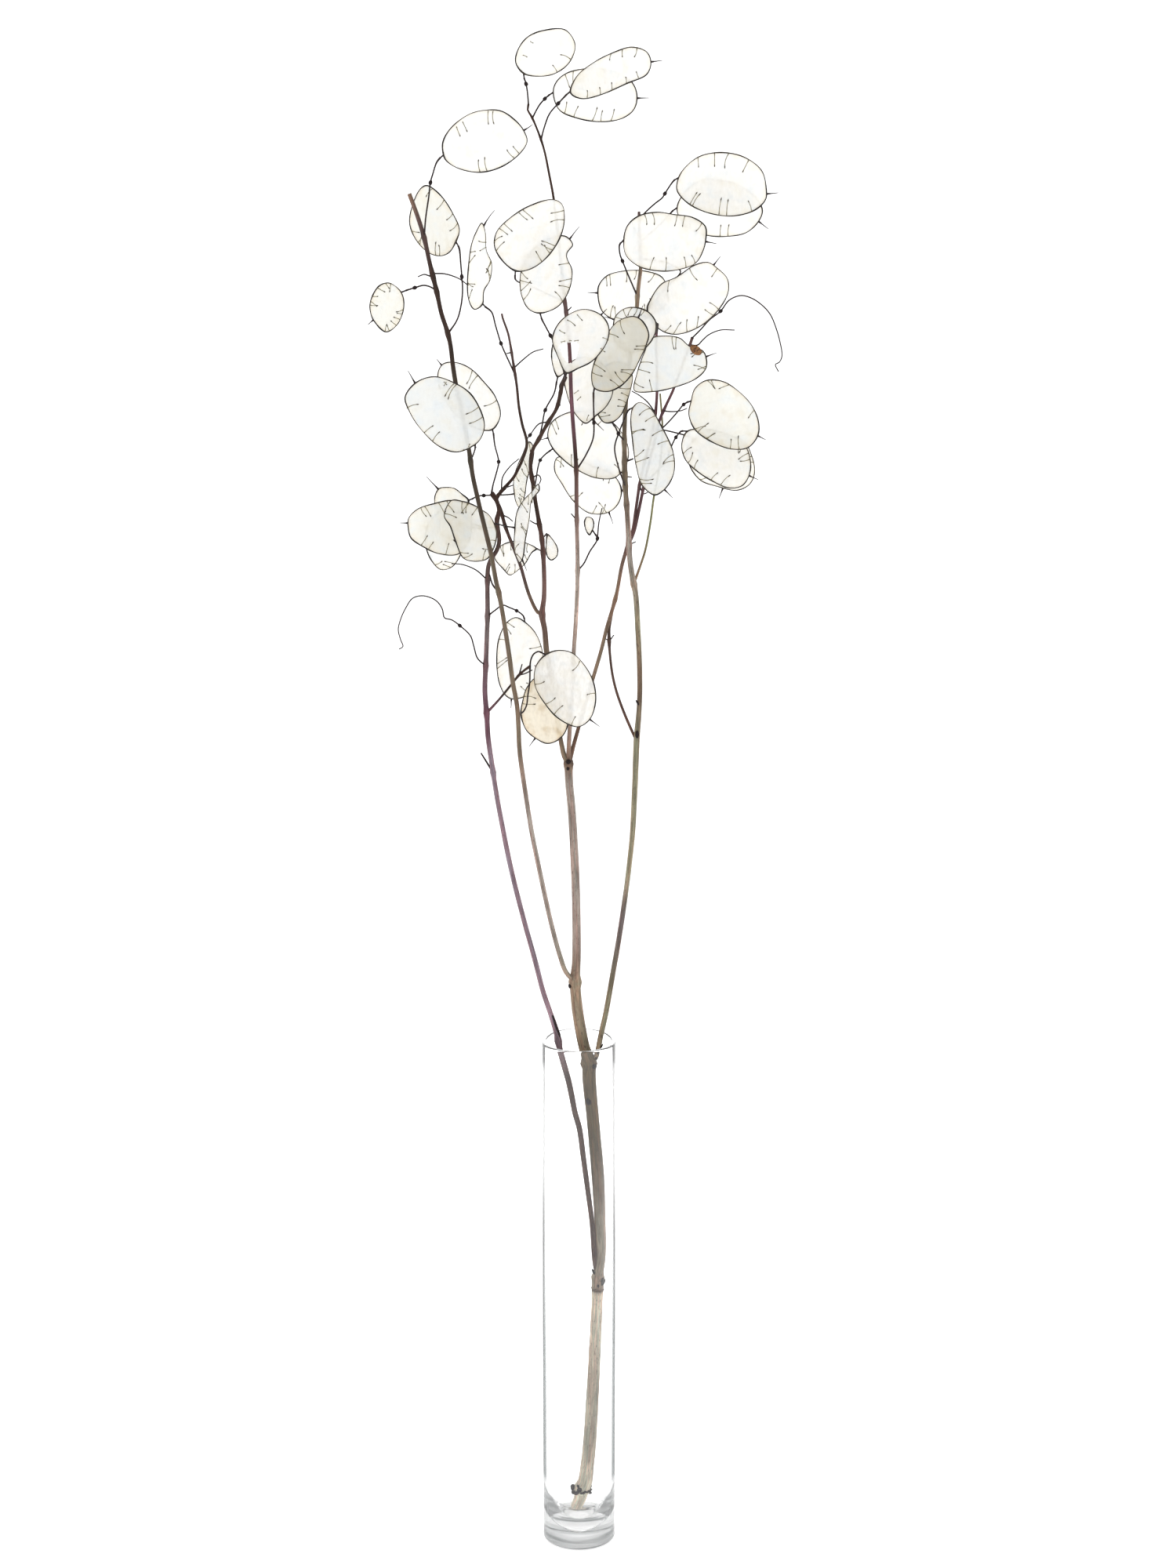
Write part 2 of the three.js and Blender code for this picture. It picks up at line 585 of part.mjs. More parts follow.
    stalk: [[610, 674], [625, 673], [634.5, 674]], root: "leftLow",
  },
  {
    name: "pod_low_4", depth: -25, yaw: -15, pitch: 0,
    rim: [
      [629, 549], [640, 530], [633, 505], [618, 486], [601, 469], [583, 461], [566, 462], [559, 470],
      [557, 484], [566, 510], [586, 535], [610, 549],
    ],
    style: [557.5, 458],
    stalk: [[631, 567], [636, 589], [634, 600], [629, 618], [627.5, 630]], knot: 1, root: "leftLow",
  },
  {
    name: "pod_low_5", depth: -5, yaw: 35, pitch: 0,
    rim: [
      [670, 792], [657, 786], [645, 793], [635, 814], [632, 842], [635, 870], [643, 887], [653, 893],
      [672, 888], [688, 866], [694, 838], [686, 809],
    ],
    style: [651, 903],
    stalk: [[667, 785], [659, 779], [650, 775], [641, 772, -20], [632, 778], [622, 786]],
    knot: 1, root: "leftLow",
  },
  {
    name: "pod_low_6", depth: -14, yaw: -10, pitch: 0,
    rim: [
      [663, 911], [665, 895], [671, 876], [683, 863], [702, 862], [719, 876], [727, 905], [723, 933],
      [711, 946], [697, 950], [682, 943], [670, 932],
    ],
    style: [675, 952],
    stalk: [
      [668, 907, -16], [671.6, 899.5, -18], [673.4, 886, -20], [675.6, 870, -23], [676, 851],
    ],
    root: "lowTwig",
  },
  {
    name: "pod_low_7", depth: -27, yaw: -8, pitch: 0,
    rim: [
      [695, 834], [682, 850], [681, 874], [693, 897], [712, 918], [737, 928.5], [753, 919], [761, 897],
      [759, 872], [749, 851], [731, 832], [713, 828],
    ],
    style: [765, 926.5],
    threads: [
      [[740, 841], [729, 857]], [[693, 898.6], [709, 889]], [[706, 912], [718, 899]],
      [[762, 884], [748, 886]],
    ],
    stalk: [[687, 831], [681, 834], [677, 842], [675.5, 850]], root: "lowTwig",
  },
];

const SEED_PLACE = { pod: "pod_arch_1", across: 888, down: 446 };

const COLOURS = {
  glass: "#dfe8ea",
  bark: "#5b4a3c",
  papery: "#e6e1d2",
  brown: "#6b4423",
};

// ---- from the sheet to space -------------------------------------------------------------

/** The direction in which a point of the sheet is seen from EYE. */
function sightLine([across, down]) {
  const up = new THREE.Vector3(0, Math.sin(LOOK_DOWN), Math.cos(LOOK_DOWN));
  return new THREE.Vector3(0, Math.cos(LOOK_DOWN), -Math.sin(LOOK_DOWN))
    .addScaledVector(up, (SHEET.height / 2 - down) / SHEET.focal)
    .setX((across - SHEET.width / 2) / SHEET.focal);
}

/** The point of space seen at a sheet point, at a depth behind the vase's axis. */
function atDepth(point, depth) {
  const line = sightLine(point);
  return EYE.clone().addScaledVector(line, (depth - EYE.y) / line.y);
}

/** A route's depths (slot 2) or radii (slot 3), with the missing ones filled in evenly. */
function filledIn(route, slot) {
  const run = [0];
  for (let index = 1; index < route.length; index += 1) {
    const [across, down] = route[index];
    const [lastAcross, lastDown] = route[index - 1];
    run.push(run[index - 1] + Math.hypot(across - lastAcross, down - lastDown));
  }
  const known = [...route.keys()].filter((index) => route[index][slot] !== undefined);
  return route.map((_, index) => {
    const before = known.findLast((other) => other <= index);
    const after = known.find((other) => other >= index);
    const share = before === after ? 0 : (run[index] - run[before]) / (run[after] - run[before]);
    return THREE.MathUtils.lerp(route[before][slot], route[after][slot], share);
  });
}

/** The plane that a pod lies in: x across it, y up it and z toward the viewer. */
function podFrame({ rim, depth, yaw, pitch }) {
  const turn = THREE.MathUtils.degToRad(yaw);
  const tilt = THREE.MathUtils.degToRad(pitch);
  const normal = new THREE.Vector3(
    Math.sin(turn) * Math.cos(tilt), -Math.cos(turn) * Math.cos(tilt), Math.sin(tilt));
  const across = new THREE.Vector3(Math.cos(turn), Math.sin(turn), 0);
  const rise = normal.clone().cross(across);
  const middle = [0, 1].map((slot) => rim.reduce((sum, point) => sum + point[slot], 0) / rim.length);
  return new THREE.Matrix4().makeBasis(across, rise, normal).setPosition(atDepth(middle, depth));
}

/** The place in a pod's own frame of a sheet point that lies in its plane. */
function inPod(frame, point) {
  const normal = new THREE.Vector3().setFromMatrixColumn(frame, 2);
  const centre = new THREE.Vector3().setFromMatrixPosition(frame);
  const line = sightLine(point);
  const reach = centre.sub(EYE).dot(normal) / line.dot(normal);
  return EYE.clone().addScaledVector(line, reach).applyMatrix4(frame.clone().invert());
}

// ---- solids ------------------------------------------------------------------------------

/** A closed geometry as a solid that can be joined and cut. */
function solidOf(geometry) {
  const bare = geometry.clone();
  bare.deleteAttribute("normal");
  bare.deleteAttribute("uv");
  const welded = mergeVertices(bare);
  return new wasm.Manifold(new wasm.Mesh({
    numProp: 3,
    vertProperties: new Float32Array(welded.attributes.position.array),
    triVerts: new Uint32Array(welded.index.array),
  }));
}

/** A solid's surface as a geometry. */
function geometryOf(solid) {
  const { vertProperties, triVerts } = solid.getMesh();
  const geometry = new THREE.BufferGeometry();
  geometry.setAttribute("position", new THREE.BufferAttribute(new Float32Array(vertProperties), 3));
  geometry.setIndex(new THREE.BufferAttribute(new Uint32Array(triVerts), 1));
  geometry.computeVertexNormals();
  return geometry;
}

/** All the solids as one. */
function joined(solids) {
  return solids.reduce((whole, solid) => whole.add(solid));
}

/** A geometry from corner points and the corners of each triangle. */
function meshGeometry(corners, triangles) {
  const geometry = new THREE.BufferGeometry().setFromPoints(corners);
  geometry.setIndex(triangles.flat());
  return geometry;
}

/** A tube with flat ends through the points, with a radius at each. */
function closedTube(points, radii, sides) {
  const corners = [];
  const triangles = [];
  const side = FIRST_SIDE.clone();
  points.forEach((point, index) => {
    const before = points[Math.max(index - 1, 0)];
    const after = points[Math.min(index + 1, points.length - 1)];
    const along = after.clone().sub(before).normalize();
    side.addScaledVector(along, -side.dot(along)).normalize();
    const third = along.clone().cross(side);
    for (let corner = 0; corner < sides; corner += 1) {
      const angle = (corner / sides) * 2 * Math.PI;
      corners.push(point.clone()
        .addScaledVector(side, radii[index] * Math.cos(angle))
        .addScaledVector(third, radii[index] * Math.sin(angle)));
    }
  });
  for (let ring = 0; ring < points.length - 1; ring += 1) {
    for (let corner = 0; corner < sides; corner += 1) {
      const here = ring * sides + corner;
      const next = ring * sides + ((corner + 1) % sides);
      triangles.push([here, next, next + sides], [here, next + sides, here + sides]);
    }
  }
  const last = (points.length - 1) * sides;
  for (let corner = 1; corner < sides - 1; corner += 1) {
    triangles.push([0, corner + 1, corner], [last, last + corner, last + corner + 1]);
  }
  return solidOf(meshGeometry(corners, triangles));
}

/** The rings after the first that a tube needs, so that no straight run misses by BEND_ERROR. */
function neededRings(rings, first = 0, last = rings.length - 1) {
  const run = new THREE.Line3(rings[first].centre, rings[last].centre);
  let worst = first;
  let worstMiss = 0;
  for (let index = first + 1; index < last; index += 1) {
    const { centre, radius } = rings[index];
    const share = run.closestPointToPointParameter(centre, true);
    const straightRadius = THREE.MathUtils.lerp(rings[first].radius, rings[last].radius, share);
    const miss = run.at(share, new THREE.Vector3()).distanceTo(centre) + Math.abs(straightRadius - radius);
    if (miss > worstMiss) {
      worst = index;
      worstMiss = miss;
    }
  }
  if (worstMiss < BEND_ERROR) return [rings[last]];
  return [...neededRings(rings, first, worst), ...neededRings(rings, worst, last)];
}

/** A smooth tube along points of space, with a ring wherever its course or radius asks for one. */
function smoothTube(points, radii, sides) {
  const curve = new THREE.CatmullRomCurve3(points, false, "centripetal");
  const rings = [{ centre: points[0], radius: radii[0] }];
  for (let index = 1; index < points.length; index += 1) {
    const parts = Math.max(1, Math.round(points[index].distanceTo(points[index - 1]) / RING_STEP));
    for (let part = 1; part <= parts; part += 1) {
      const centre = curve.getPoint((index - 1 + part / parts) / (points.length - 1));
      const radius = THREE.MathUtils.lerp(radii[index - 1], radii[index], part / parts);
      rings.push({ centre, radius });
    }
  }
  const needed = [rings[0], ...neededRings(rings)];
  return closedTube(needed.map(({ centre }) => centre), needed.map(({ radius }) => radius), sides);
}

// ---- stem --------------------------------------------------------------------------------

const courses = {};

/** The point of a branch's axis that is seen at a sheet point. */
function seatOn(branch, point) {
  const sight = new THREE.Ray(EYE, sightLine(point).normalize());
  const seats = courses[branch].getPoints(ROOT_SEARCH_POINTS);
  return seats.reduce((best, seat) => (
    sight.distanceSqToPoint(seat) < sight.distanceSqToPoint(best) ? seat : best));
}

/** A route's points in space. Its first point sits on the axis of the branch that bears it. */
function routePoints(route, root) {
  const depths = filledIn(route, 2);
  return route.map((point, index) => (
    index === 0 && root ? seatOn(root, point) : atDepth(point, depths[index])));
}

function branchSolid(name) {
  const { route, root, sides } = BRANCHES[name];
  const points = routePoints(route, root);
  courses[name] = new THREE.CatmullRomCurve3(points, false, "centripetal");
  return smoothTube(points, filledIn(route, 3), sides);
}

/** The swelling where a pedicel meets the stalk of its pod. */
function knotSolid(points, index) {
  const along = points[index + 1].clone().sub(points[index - 1]).normalize();
  const knot = new THREE.OctahedronGeometry(KNOT.radius);
  knot.scale(1, 1, KNOT.stretch);
  knot.applyQuaternion(new THREE.Quaternion().setFromUnitVectors(new THREE.Vector3(0, 0, 1), along));
  knot.translate(points[index].x, points[index].y, points[index].z);
  return solidOf(knot);
}

/** A route of slots 0 to 2 whose point at the branch has the depth of its seat there. */
function seatedRoute(route, root) {
  const seat = seatOn(root, route[0]);
  return [[...route[0].slice(0, 2), seat.y], ...route.slice(1)];
}

function threadSolid({ route, root, knot, radius = THREAD.radius }) {
  const points = routePoints(seatedRoute(route, root), root);
  const thread = smoothTube(points, points.map(() => radius), THREAD.sides);
  return knot === undefined ? thread : thread.add(knotSolid(points, knot));
}

/** Where a pod's rim meets its stalk, and the way the stalk leaves it. */
function stalkStart(pod) {
  const frame = podFrame(pod);
  const base = inPod(frame, pod.rim[0]).applyMatrix4(frame);
  const next = pod.stalk[0];
  const seat = seatOn(pod.root, pod.stalk.at(-1));
  const depths = filledIn([[...pod.rim[0], base.y], ...pod.stalk.slice(0, -1),
    [...pod.stalk.at(-1).slice(0, 2), seat.y]], 2);
  const along = atDepth(next, depths[1]).sub(base).normalize();
  return { base, along, seat, depths };
}

function stalkSolid(pod) {
  const { base, along, seat, depths } = stalkStart(pod);
  const start = base.clone().addScaledVector(along, NUB.length + NUB.clear);
  const between = pod.stalk.slice(0, -1).map((point, index) => atDepth(point, depths[index + 1]));
  const points = [start, ...between, seat];
  courses[pod.name] = new THREE.CatmullRomCurve3(points, false, "centripetal");
  const stalk = smoothTube(points, points.map(() => STALK.radius), STALK.sides);
  return pod.knot === undefined ? stalk : stalk.add(knotSolid(points, pod.knot + 1));
}

function stemSolid() {
  return joined([
    ...Object.keys(BRANCHES).map(branchSolid),
    ...PODS.map(stalkSolid),
    ...THREADS.map(threadSolid),
  ]);
}

// ---- pods --------------------------------------------------------------------------------

/** The pod's outline in its own frame, evenly spaced and counterclockwise. */
function podOutline(pod, frame) {
  const drawn = pod.rim.map((point) => inPod(frame, point));
  const curve = new THREE.CatmullRomCurve3(drawn, true, "centripetal");
  const outline = curve.getSpacedPoints(POD.outlinePoints).slice(0, -1);
  return THREE.ShapeUtils.area(outline) > 0 ? outline : [outline[0], ...outline.slice(1).reverse()];
}

/** The way into the pod at each point of its outline. */
function inwardWays(outline) {
  return outline.map((_, index) => {
    const before = outline.at(index - 1);
    const after = outline[(index + 1) % outline.length];
    return new THREE.Vector3(before.y - after.y, after.x - before.x, 0).normalize();
  });
}

/** The thin septum inside its thicker rim, which slopes down to it. */
function discSolid(outline) {
  const count = outline.length;
  const inner = inwardWays(outline).map((way, index) => (
    outline[index].clone().addScaledVector(way, POD.rimWidth)));
  const ring = (points, height) => points.map(({ x, y }) => new THREE.Vector3(x, y, height));
  const corners = [
    ...ring(outline, POD.rimThick / 2), ...ring(inner, POD.septumThick / 2),
    ...ring(inner, -POD.septumThick / 2), ...ring(outline, -POD.rimThick / 2),
  ];
  const triangles = [];
  for (let index = 0; index < count; index += 1) {
    const next = (index + 1) % count;
    for (const [low, high] of [[0, 1], [2, 3], [3, 0]]) {
      triangles.push(
        [low * count + index, low * count + next, high * count + next],
        [low * count + index, high * count + next, high * count + index],
      );
    }
  }
  for (const [a, b, c] of THREE.ShapeUtils.triangulateShape(inner, [])) {
    triangles.push([count + a, count + b, count + c], [2 * count + c, 2 * count + b, 2 * count + a]);
  }
  return solidOf(meshGeometry(corners, triangles));
}

/** A slim bar from one point of the pod's plane to another. */
function barSolid(from, to, fromRadius, toRadius) {
  return closedTube([from, to], [fromRadius, toRadius], BAR_SIDES);
}

/** Repeatable draws between 0 and 1. */
function seededDraw({ seed, factor, modulus }) {
  let state = seed;
  return () => {
    state = (state * factor) % modulus;
    return state / modulus;
  };
}

/** A pair of seed threads, a little askew, on one side of the pod. */
function grownThreads(outline, draw) {
  const ways = inwardWays(outline);
  const round = outline.reduce((sum, point, index) => sum + point.distanceTo(outline.at(index - 1)), 0);
  const pairStep = (SEED_THREAD.spacing / round) * outline.length;
  const first = THREE.MathUtils.lerp(...SEED_THREAD.places, draw()) * outline.length;
  const lean = THREE.MathUtils.degToRad(SEED_THREAD.lean * (draw() - 0.5));
  const reach = Math.min(SEED_THREAD.length, round / SEED_THREAD.roundShare);
  return [first, first + pairStep].map((place) => {
    const index = Math.floor(place);
    const start = outline[index].clone().lerp(outline[(index + 1) % outline.length], place - index);
    const way = ways[index].clone().applyAxisAngle(new THREE.Vector3(0, 0, 1), lean);
    return [start.clone().addScaledVector(way, SEED_THREAD.sunk), start.addScaledVector(way, reach)];
  });
}

function nearestPoint(outline, target) {
  return outline.reduce((best, point) => (
    point.distanceTo(target) < best.distanceTo(target) ? point : best));
}

/** One pod in its own frame: septum, rim, seed threads, style and the nub at its stalk. */
function podSolid(pod, frame, draw) {
  const outline = podOutline(pod, frame);
  const threads = pod.threads
    ? pod.threads.map((ends) => ends.map((end) => inPod(frame, end)))
    : grownThreads(outline, draw);
  const parts = [discSolid(outline)];
  for (const [from, to] of threads) {
    parts.push(barSolid(from, to, SEED_THREAD.radius, SEED_THREAD.radius));
  }
  if (pod.style) {
    const end = inPod(frame, pod.style);
    const start = nearestPoint(outline, end).clone();
    const way = start.clone().sub(end).normalize();
    parts.push(barSolid(start.addScaledVector(way, STYLE.sunk), end, STYLE.radius, STYLE.tipRadius));
  }
  const { base, along } = stalkStart(pod);
  const nub = [-NUB.sunk, NUB.length].map((reach) => (
    base.clone().addScaledVector(along, reach).applyMatrix4(frame.clone().invert())));
  parts.push(barSolid(nub[0], nub[1], NUB.radius, NUB.radius));
  const whole = joined(parts);
  return pod.tear ? whole.subtract(tearSolid(pod, frame)) : whole;
}

/** The torn-out piece of a septum, as a block that cuts right through. */
function tearSolid(pod, frame) {
  const edge = pod.tear.map((point) => inPod(frame, point));
  const depth = 4 * POD.rimThick;
  const block = new THREE.ExtrudeGeometry(new THREE.Shape(edge), { depth, bevelEnabled: false });
  block.translate(0, 0, -depth / 2);
  return solidOf(block);
}

/** The brown remnant that clings to one pod, a flat lens clear of its face. */
function seedGeometry() {
  const lens = new THREE.SphereGeometry(0.5, 10, 6);
  lens.scale(SEED.length, SEED.width, SEED.thick);
  lens.rotateZ(THREE.MathUtils.degToRad(-SEED.turn));
  return lens;
}

// ---- vase --------------------------------------------------------------------------------

/** Part of a circle, or of an ellipse where a height of its own is given. */
function arc(centreX, centreY, radius, fromAngle, toAngle, steps, rise = radius) {
  return Array.from({ length: steps + 1 }, (_, index) => {
    const angle = THREE.MathUtils.degToRad(fromAngle + ((toAngle - fromAngle) * index) / steps);
    return new THREE.Vector2(centreX + radius * Math.cos(angle), centreY + rise * Math.sin(angle));
  });
}

/** The glass in one turn: flat foot, rounded heel, straight wall, round lip, bowl-shaped floor. */
function vaseGeometry() {
  const { radius, height, wall, floor, bowl, heel, segments } = VASE;
  const inside = radius - wall;
  const lip = wall / 2;
  const profile = [
    new THREE.Vector2(0, 0),
    ...arc(radius - heel, heel, heel, -90, 0, 3),
    ...arc(radius - lip, height - lip, lip, 0, 180, 4),
    ...arc(0, floor + bowl, inside, 0, -90, 6, bowl).slice(0, -1),
    new THREE.Vector2(0, floor),
  ];
  const glass = new THREE.LatheGeometry(profile, segments);
  glass.rotateX(Math.PI / 2);
  return glass;
}

// ---- the whole ---------------------------------------------------------------------------

function material(color, roughness, extra = {}) {
  return new THREE.MeshStandardMaterial({ color, roughness, metalness: 0, flatShading: true, ...extra });
}

function named(name, geometry, look) {
  const mesh = new THREE.Mesh(geometry, look);
  mesh.name = name;
  return mesh;
}

const group = new THREE.Group();
const clearGlass = material(COLOURS.glass, 0.05, { transparent: true, opacity: 0.3 });
group.add(named("glass_vase", vaseGeometry(), clearGlass));
group.add(named("stem", geometryOf(stemSolid()), material(COLOURS.bark, 0.8)));

const draw = seededDraw(THREAD_DRAW);
for (const pod of PODS) {
  const frame = podFrame(pod);
  const mesh = named(pod.name, geometryOf(podSolid(pod, frame, draw)), material(COLOURS.papery, 0.6));
  mesh.applyMatrix4(frame);
  group.add(mesh);
}

const seedPod = podFrame(PODS.find(({ name }) => name === SEED_PLACE.pod));
const seedPlace = inPod(seedPod, [SEED_PLACE.across, SEED_PLACE.down]);
seedPlace.z = POD.rimThick / 2 + SEED.clear + SEED.thick / 2;
const seed = named("brown_seed", seedGeometry(), material(COLOURS.brown, 0.7));
seed.applyMatrix4(seedPod.multiply(new THREE.Matrix4().setPosition(seedPlace)));
group.add(seed);

export default group;
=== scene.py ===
"""Looks of a dried honesty (Lunaria annua) seed stem that stands in a tall glass tube vase.

The tables and classes work in millimetres, +Z up, -Y toward the viewer, with the origin at the
centre of the vase's underside. A mesh is scaled to metres when it is made.

The stem grew without a plan, so its course is drawn on an upright sheet, Sheet, which is seen
in perspective from an eye. A route is a run of (across, down, depth, radius): two sheet
units, then millimetres behind the vase's axis and the radius there. A depth or radius that a
point leaves out follows evenly from its neighbours.
"""

from __future__ import annotations

import logging
import math
import random
from dataclasses import dataclass, field
from enum import Enum
from typing import Any, Sequence

import bpy
import numpy as np
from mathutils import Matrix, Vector
from mathutils.geometry import delaunay_2d_cdt


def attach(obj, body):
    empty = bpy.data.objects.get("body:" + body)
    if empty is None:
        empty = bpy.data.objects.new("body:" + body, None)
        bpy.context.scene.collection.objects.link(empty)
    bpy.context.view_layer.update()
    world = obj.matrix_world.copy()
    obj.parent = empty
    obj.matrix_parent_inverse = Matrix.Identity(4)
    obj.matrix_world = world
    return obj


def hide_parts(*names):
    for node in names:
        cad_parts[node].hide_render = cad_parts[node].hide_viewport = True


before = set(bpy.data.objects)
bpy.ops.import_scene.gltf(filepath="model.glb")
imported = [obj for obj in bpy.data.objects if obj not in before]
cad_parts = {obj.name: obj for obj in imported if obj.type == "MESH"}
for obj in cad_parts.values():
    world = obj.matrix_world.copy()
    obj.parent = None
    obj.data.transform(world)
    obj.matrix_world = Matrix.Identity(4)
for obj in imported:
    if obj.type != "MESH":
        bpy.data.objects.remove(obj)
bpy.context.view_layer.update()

LOG = logging.getLogger("honesty")
MM = 0.001
BODY = "root"
DEPTH, RADIUS = 2, 3  # the places of a depth and a radius in a route's points

Array = np.ndarray
Mesh = bpy.types.Mesh
Node = bpy.types.Node
Socket = bpy.types.NodeSocket
Tree = bpy.types.NodeTree
Point = Sequence[float]
Route = Sequence[Point]
Span = tuple[float, float]


# ---- colours ------------------------------------------------------------------------------


class Bark(Enum):
    """Colours that the dried bark takes along the stem, as sRGB hex."""

    IVORY = "#cdc6ba"
    PALE = "#e2dccf"
    GREY = "#988d81"
    NODE = "#5b4a41"
    GREY_OLIVE = "#786b5b"
    TAN = "#8f8071"
    PINK_TAN = "#b8a7a2"
    DUN = "#867b78"
    MAUVE = "#857383"
    MAUVE_BROWN = "#74666a"
    SLATE = "#533f3a"
    ROSE_GREY = "#978b88"
    ASH = "#b1aba0"
    HAY = "#a59a8c"
    MOSS = "#5e5038"
    DARK_TAN = "#6f6356"
    UMBER = "#413930"
    RUSSET = "#664d4b"
    SOOT = "#36261f"
    PURPLE = "#6a4a5a"
    OLIVE = "#8d8876"
    GREEN = "#7d7f5f"
    DUSK = "#5a4646"
    BROWN = "#7f6b5e"
    STALK = "#2a1f20"
    KNOT = "#1e1416"


class Paper(Enum):
    """The shades of the papery inner walls."""

    IVORY = "ivory"
    SILK = "silk"
    # A warmer, darker wall: partly its own tone, partly painted shade from the pods that lie behind it.
    CREAM = "cream"
    COOL = "cool"
    TAN = "tan"


RIM_COLOURS = ("#1c1615", "#5b5142")
THREAD_COLOURS = ("#413828", "#8a8262")


def linear(hex_colour: str) -> tuple[float, float, float, float]:
    """The linear colour of an sRGB hex value.

    Args:
        hex_colour: a colour as "#rrggbb".

    Returns:
        Red, green, blue and an alpha of one, in linear light.
    """
    parts = [int(hex_colour[start:start + 2], 16) / 255 for start in (1, 3, 5)]
    low, high = 0.04045, 2.4
    light = [part / 12.92 if part <= low else ((part + 0.055) / 1.055) ** high for part in parts]
    return light[0], light[1], light[2], 1.0


def dark_to_pale(colours: tuple[str, str], paleness: Array) -> Array:
    """Linear colours between a dark and a pale one, one row for each share of paleness."""
    dark, pale = (np.array(linear(colour)) for colour in colours)
    return dark + (pale - dark) * paleness[:, None]


def even_colour(tone: Bark, count: int) -> Array:
    """One tone's linear colour for each of count points."""
    return np.tile(linear(tone.value), (count, 1))


# ---- what the tables hold -----------------------------------------------------------------


@dataclass(frozen=True)
class Branch:
    """A branch from its root to its tip, and its bark's colours at shares of the way along."""

    name: str
    route: Route
    tones: tuple[tuple[float, Bark], ...]
    root: str | None = None


@dataclass(frozen=True)
class Thread:
    """A bare thread, stub or bract, from its root outward. The point numbered knot is swollen."""

    root: str
    route: Route
    knot: int | None = None
    radius: float = 0.42
    tone: Bark = Bark.STALK


@dataclass(frozen=True)
class Pod:
    """A pod's papery inner wall in its rim, with the stalk that bears it.

    The rim lies in a plane at the given depth; yaw turns its right side away from the viewer
    and pitch its top back. Its first point is at the stalk, and style is the end of the style.
    The stalk runs to the branch named root, and its point numbered knot is swollen. threads are
    seed threads from the rim inward; a pod without them gets its own by rule. tear is the edge
    of a torn-out piece, and creasing tells how much the wall is crumpled.
    """

    name: str
    root: str
    depth: float
    rim: Route
    stalk: Route
    yaw: float = 0.0
    pitch: float = 0.0
    style: Point | None = None
    knot: int | None = None
    threads: Sequence[Sequence[Point]] = ()
    tear: Route = ()
    tone: Paper = Paper.IVORY
    creasing: float = 1.0


@dataclass(frozen=True)
class Scar:
    """A leaf scar or dried bract: where it is seen, on which branch, and its half sizes."""

    root: str
    mark: Point
    across: float
    along: float
    stands_out: float = 0.4
    tone: Bark = Bark.KNOT


@dataclass(frozen=True)
class NodeRing:
    """The ragged ring of leaf bases round a node of the main stem. left widens its left side."""

    mark: Point
    buds: int
    size: float
    left: float = 1.0
    tone: Bark = Bark.KNOT


# ---- the stem as it is drawn, each branch and thread from its root outward ----------------

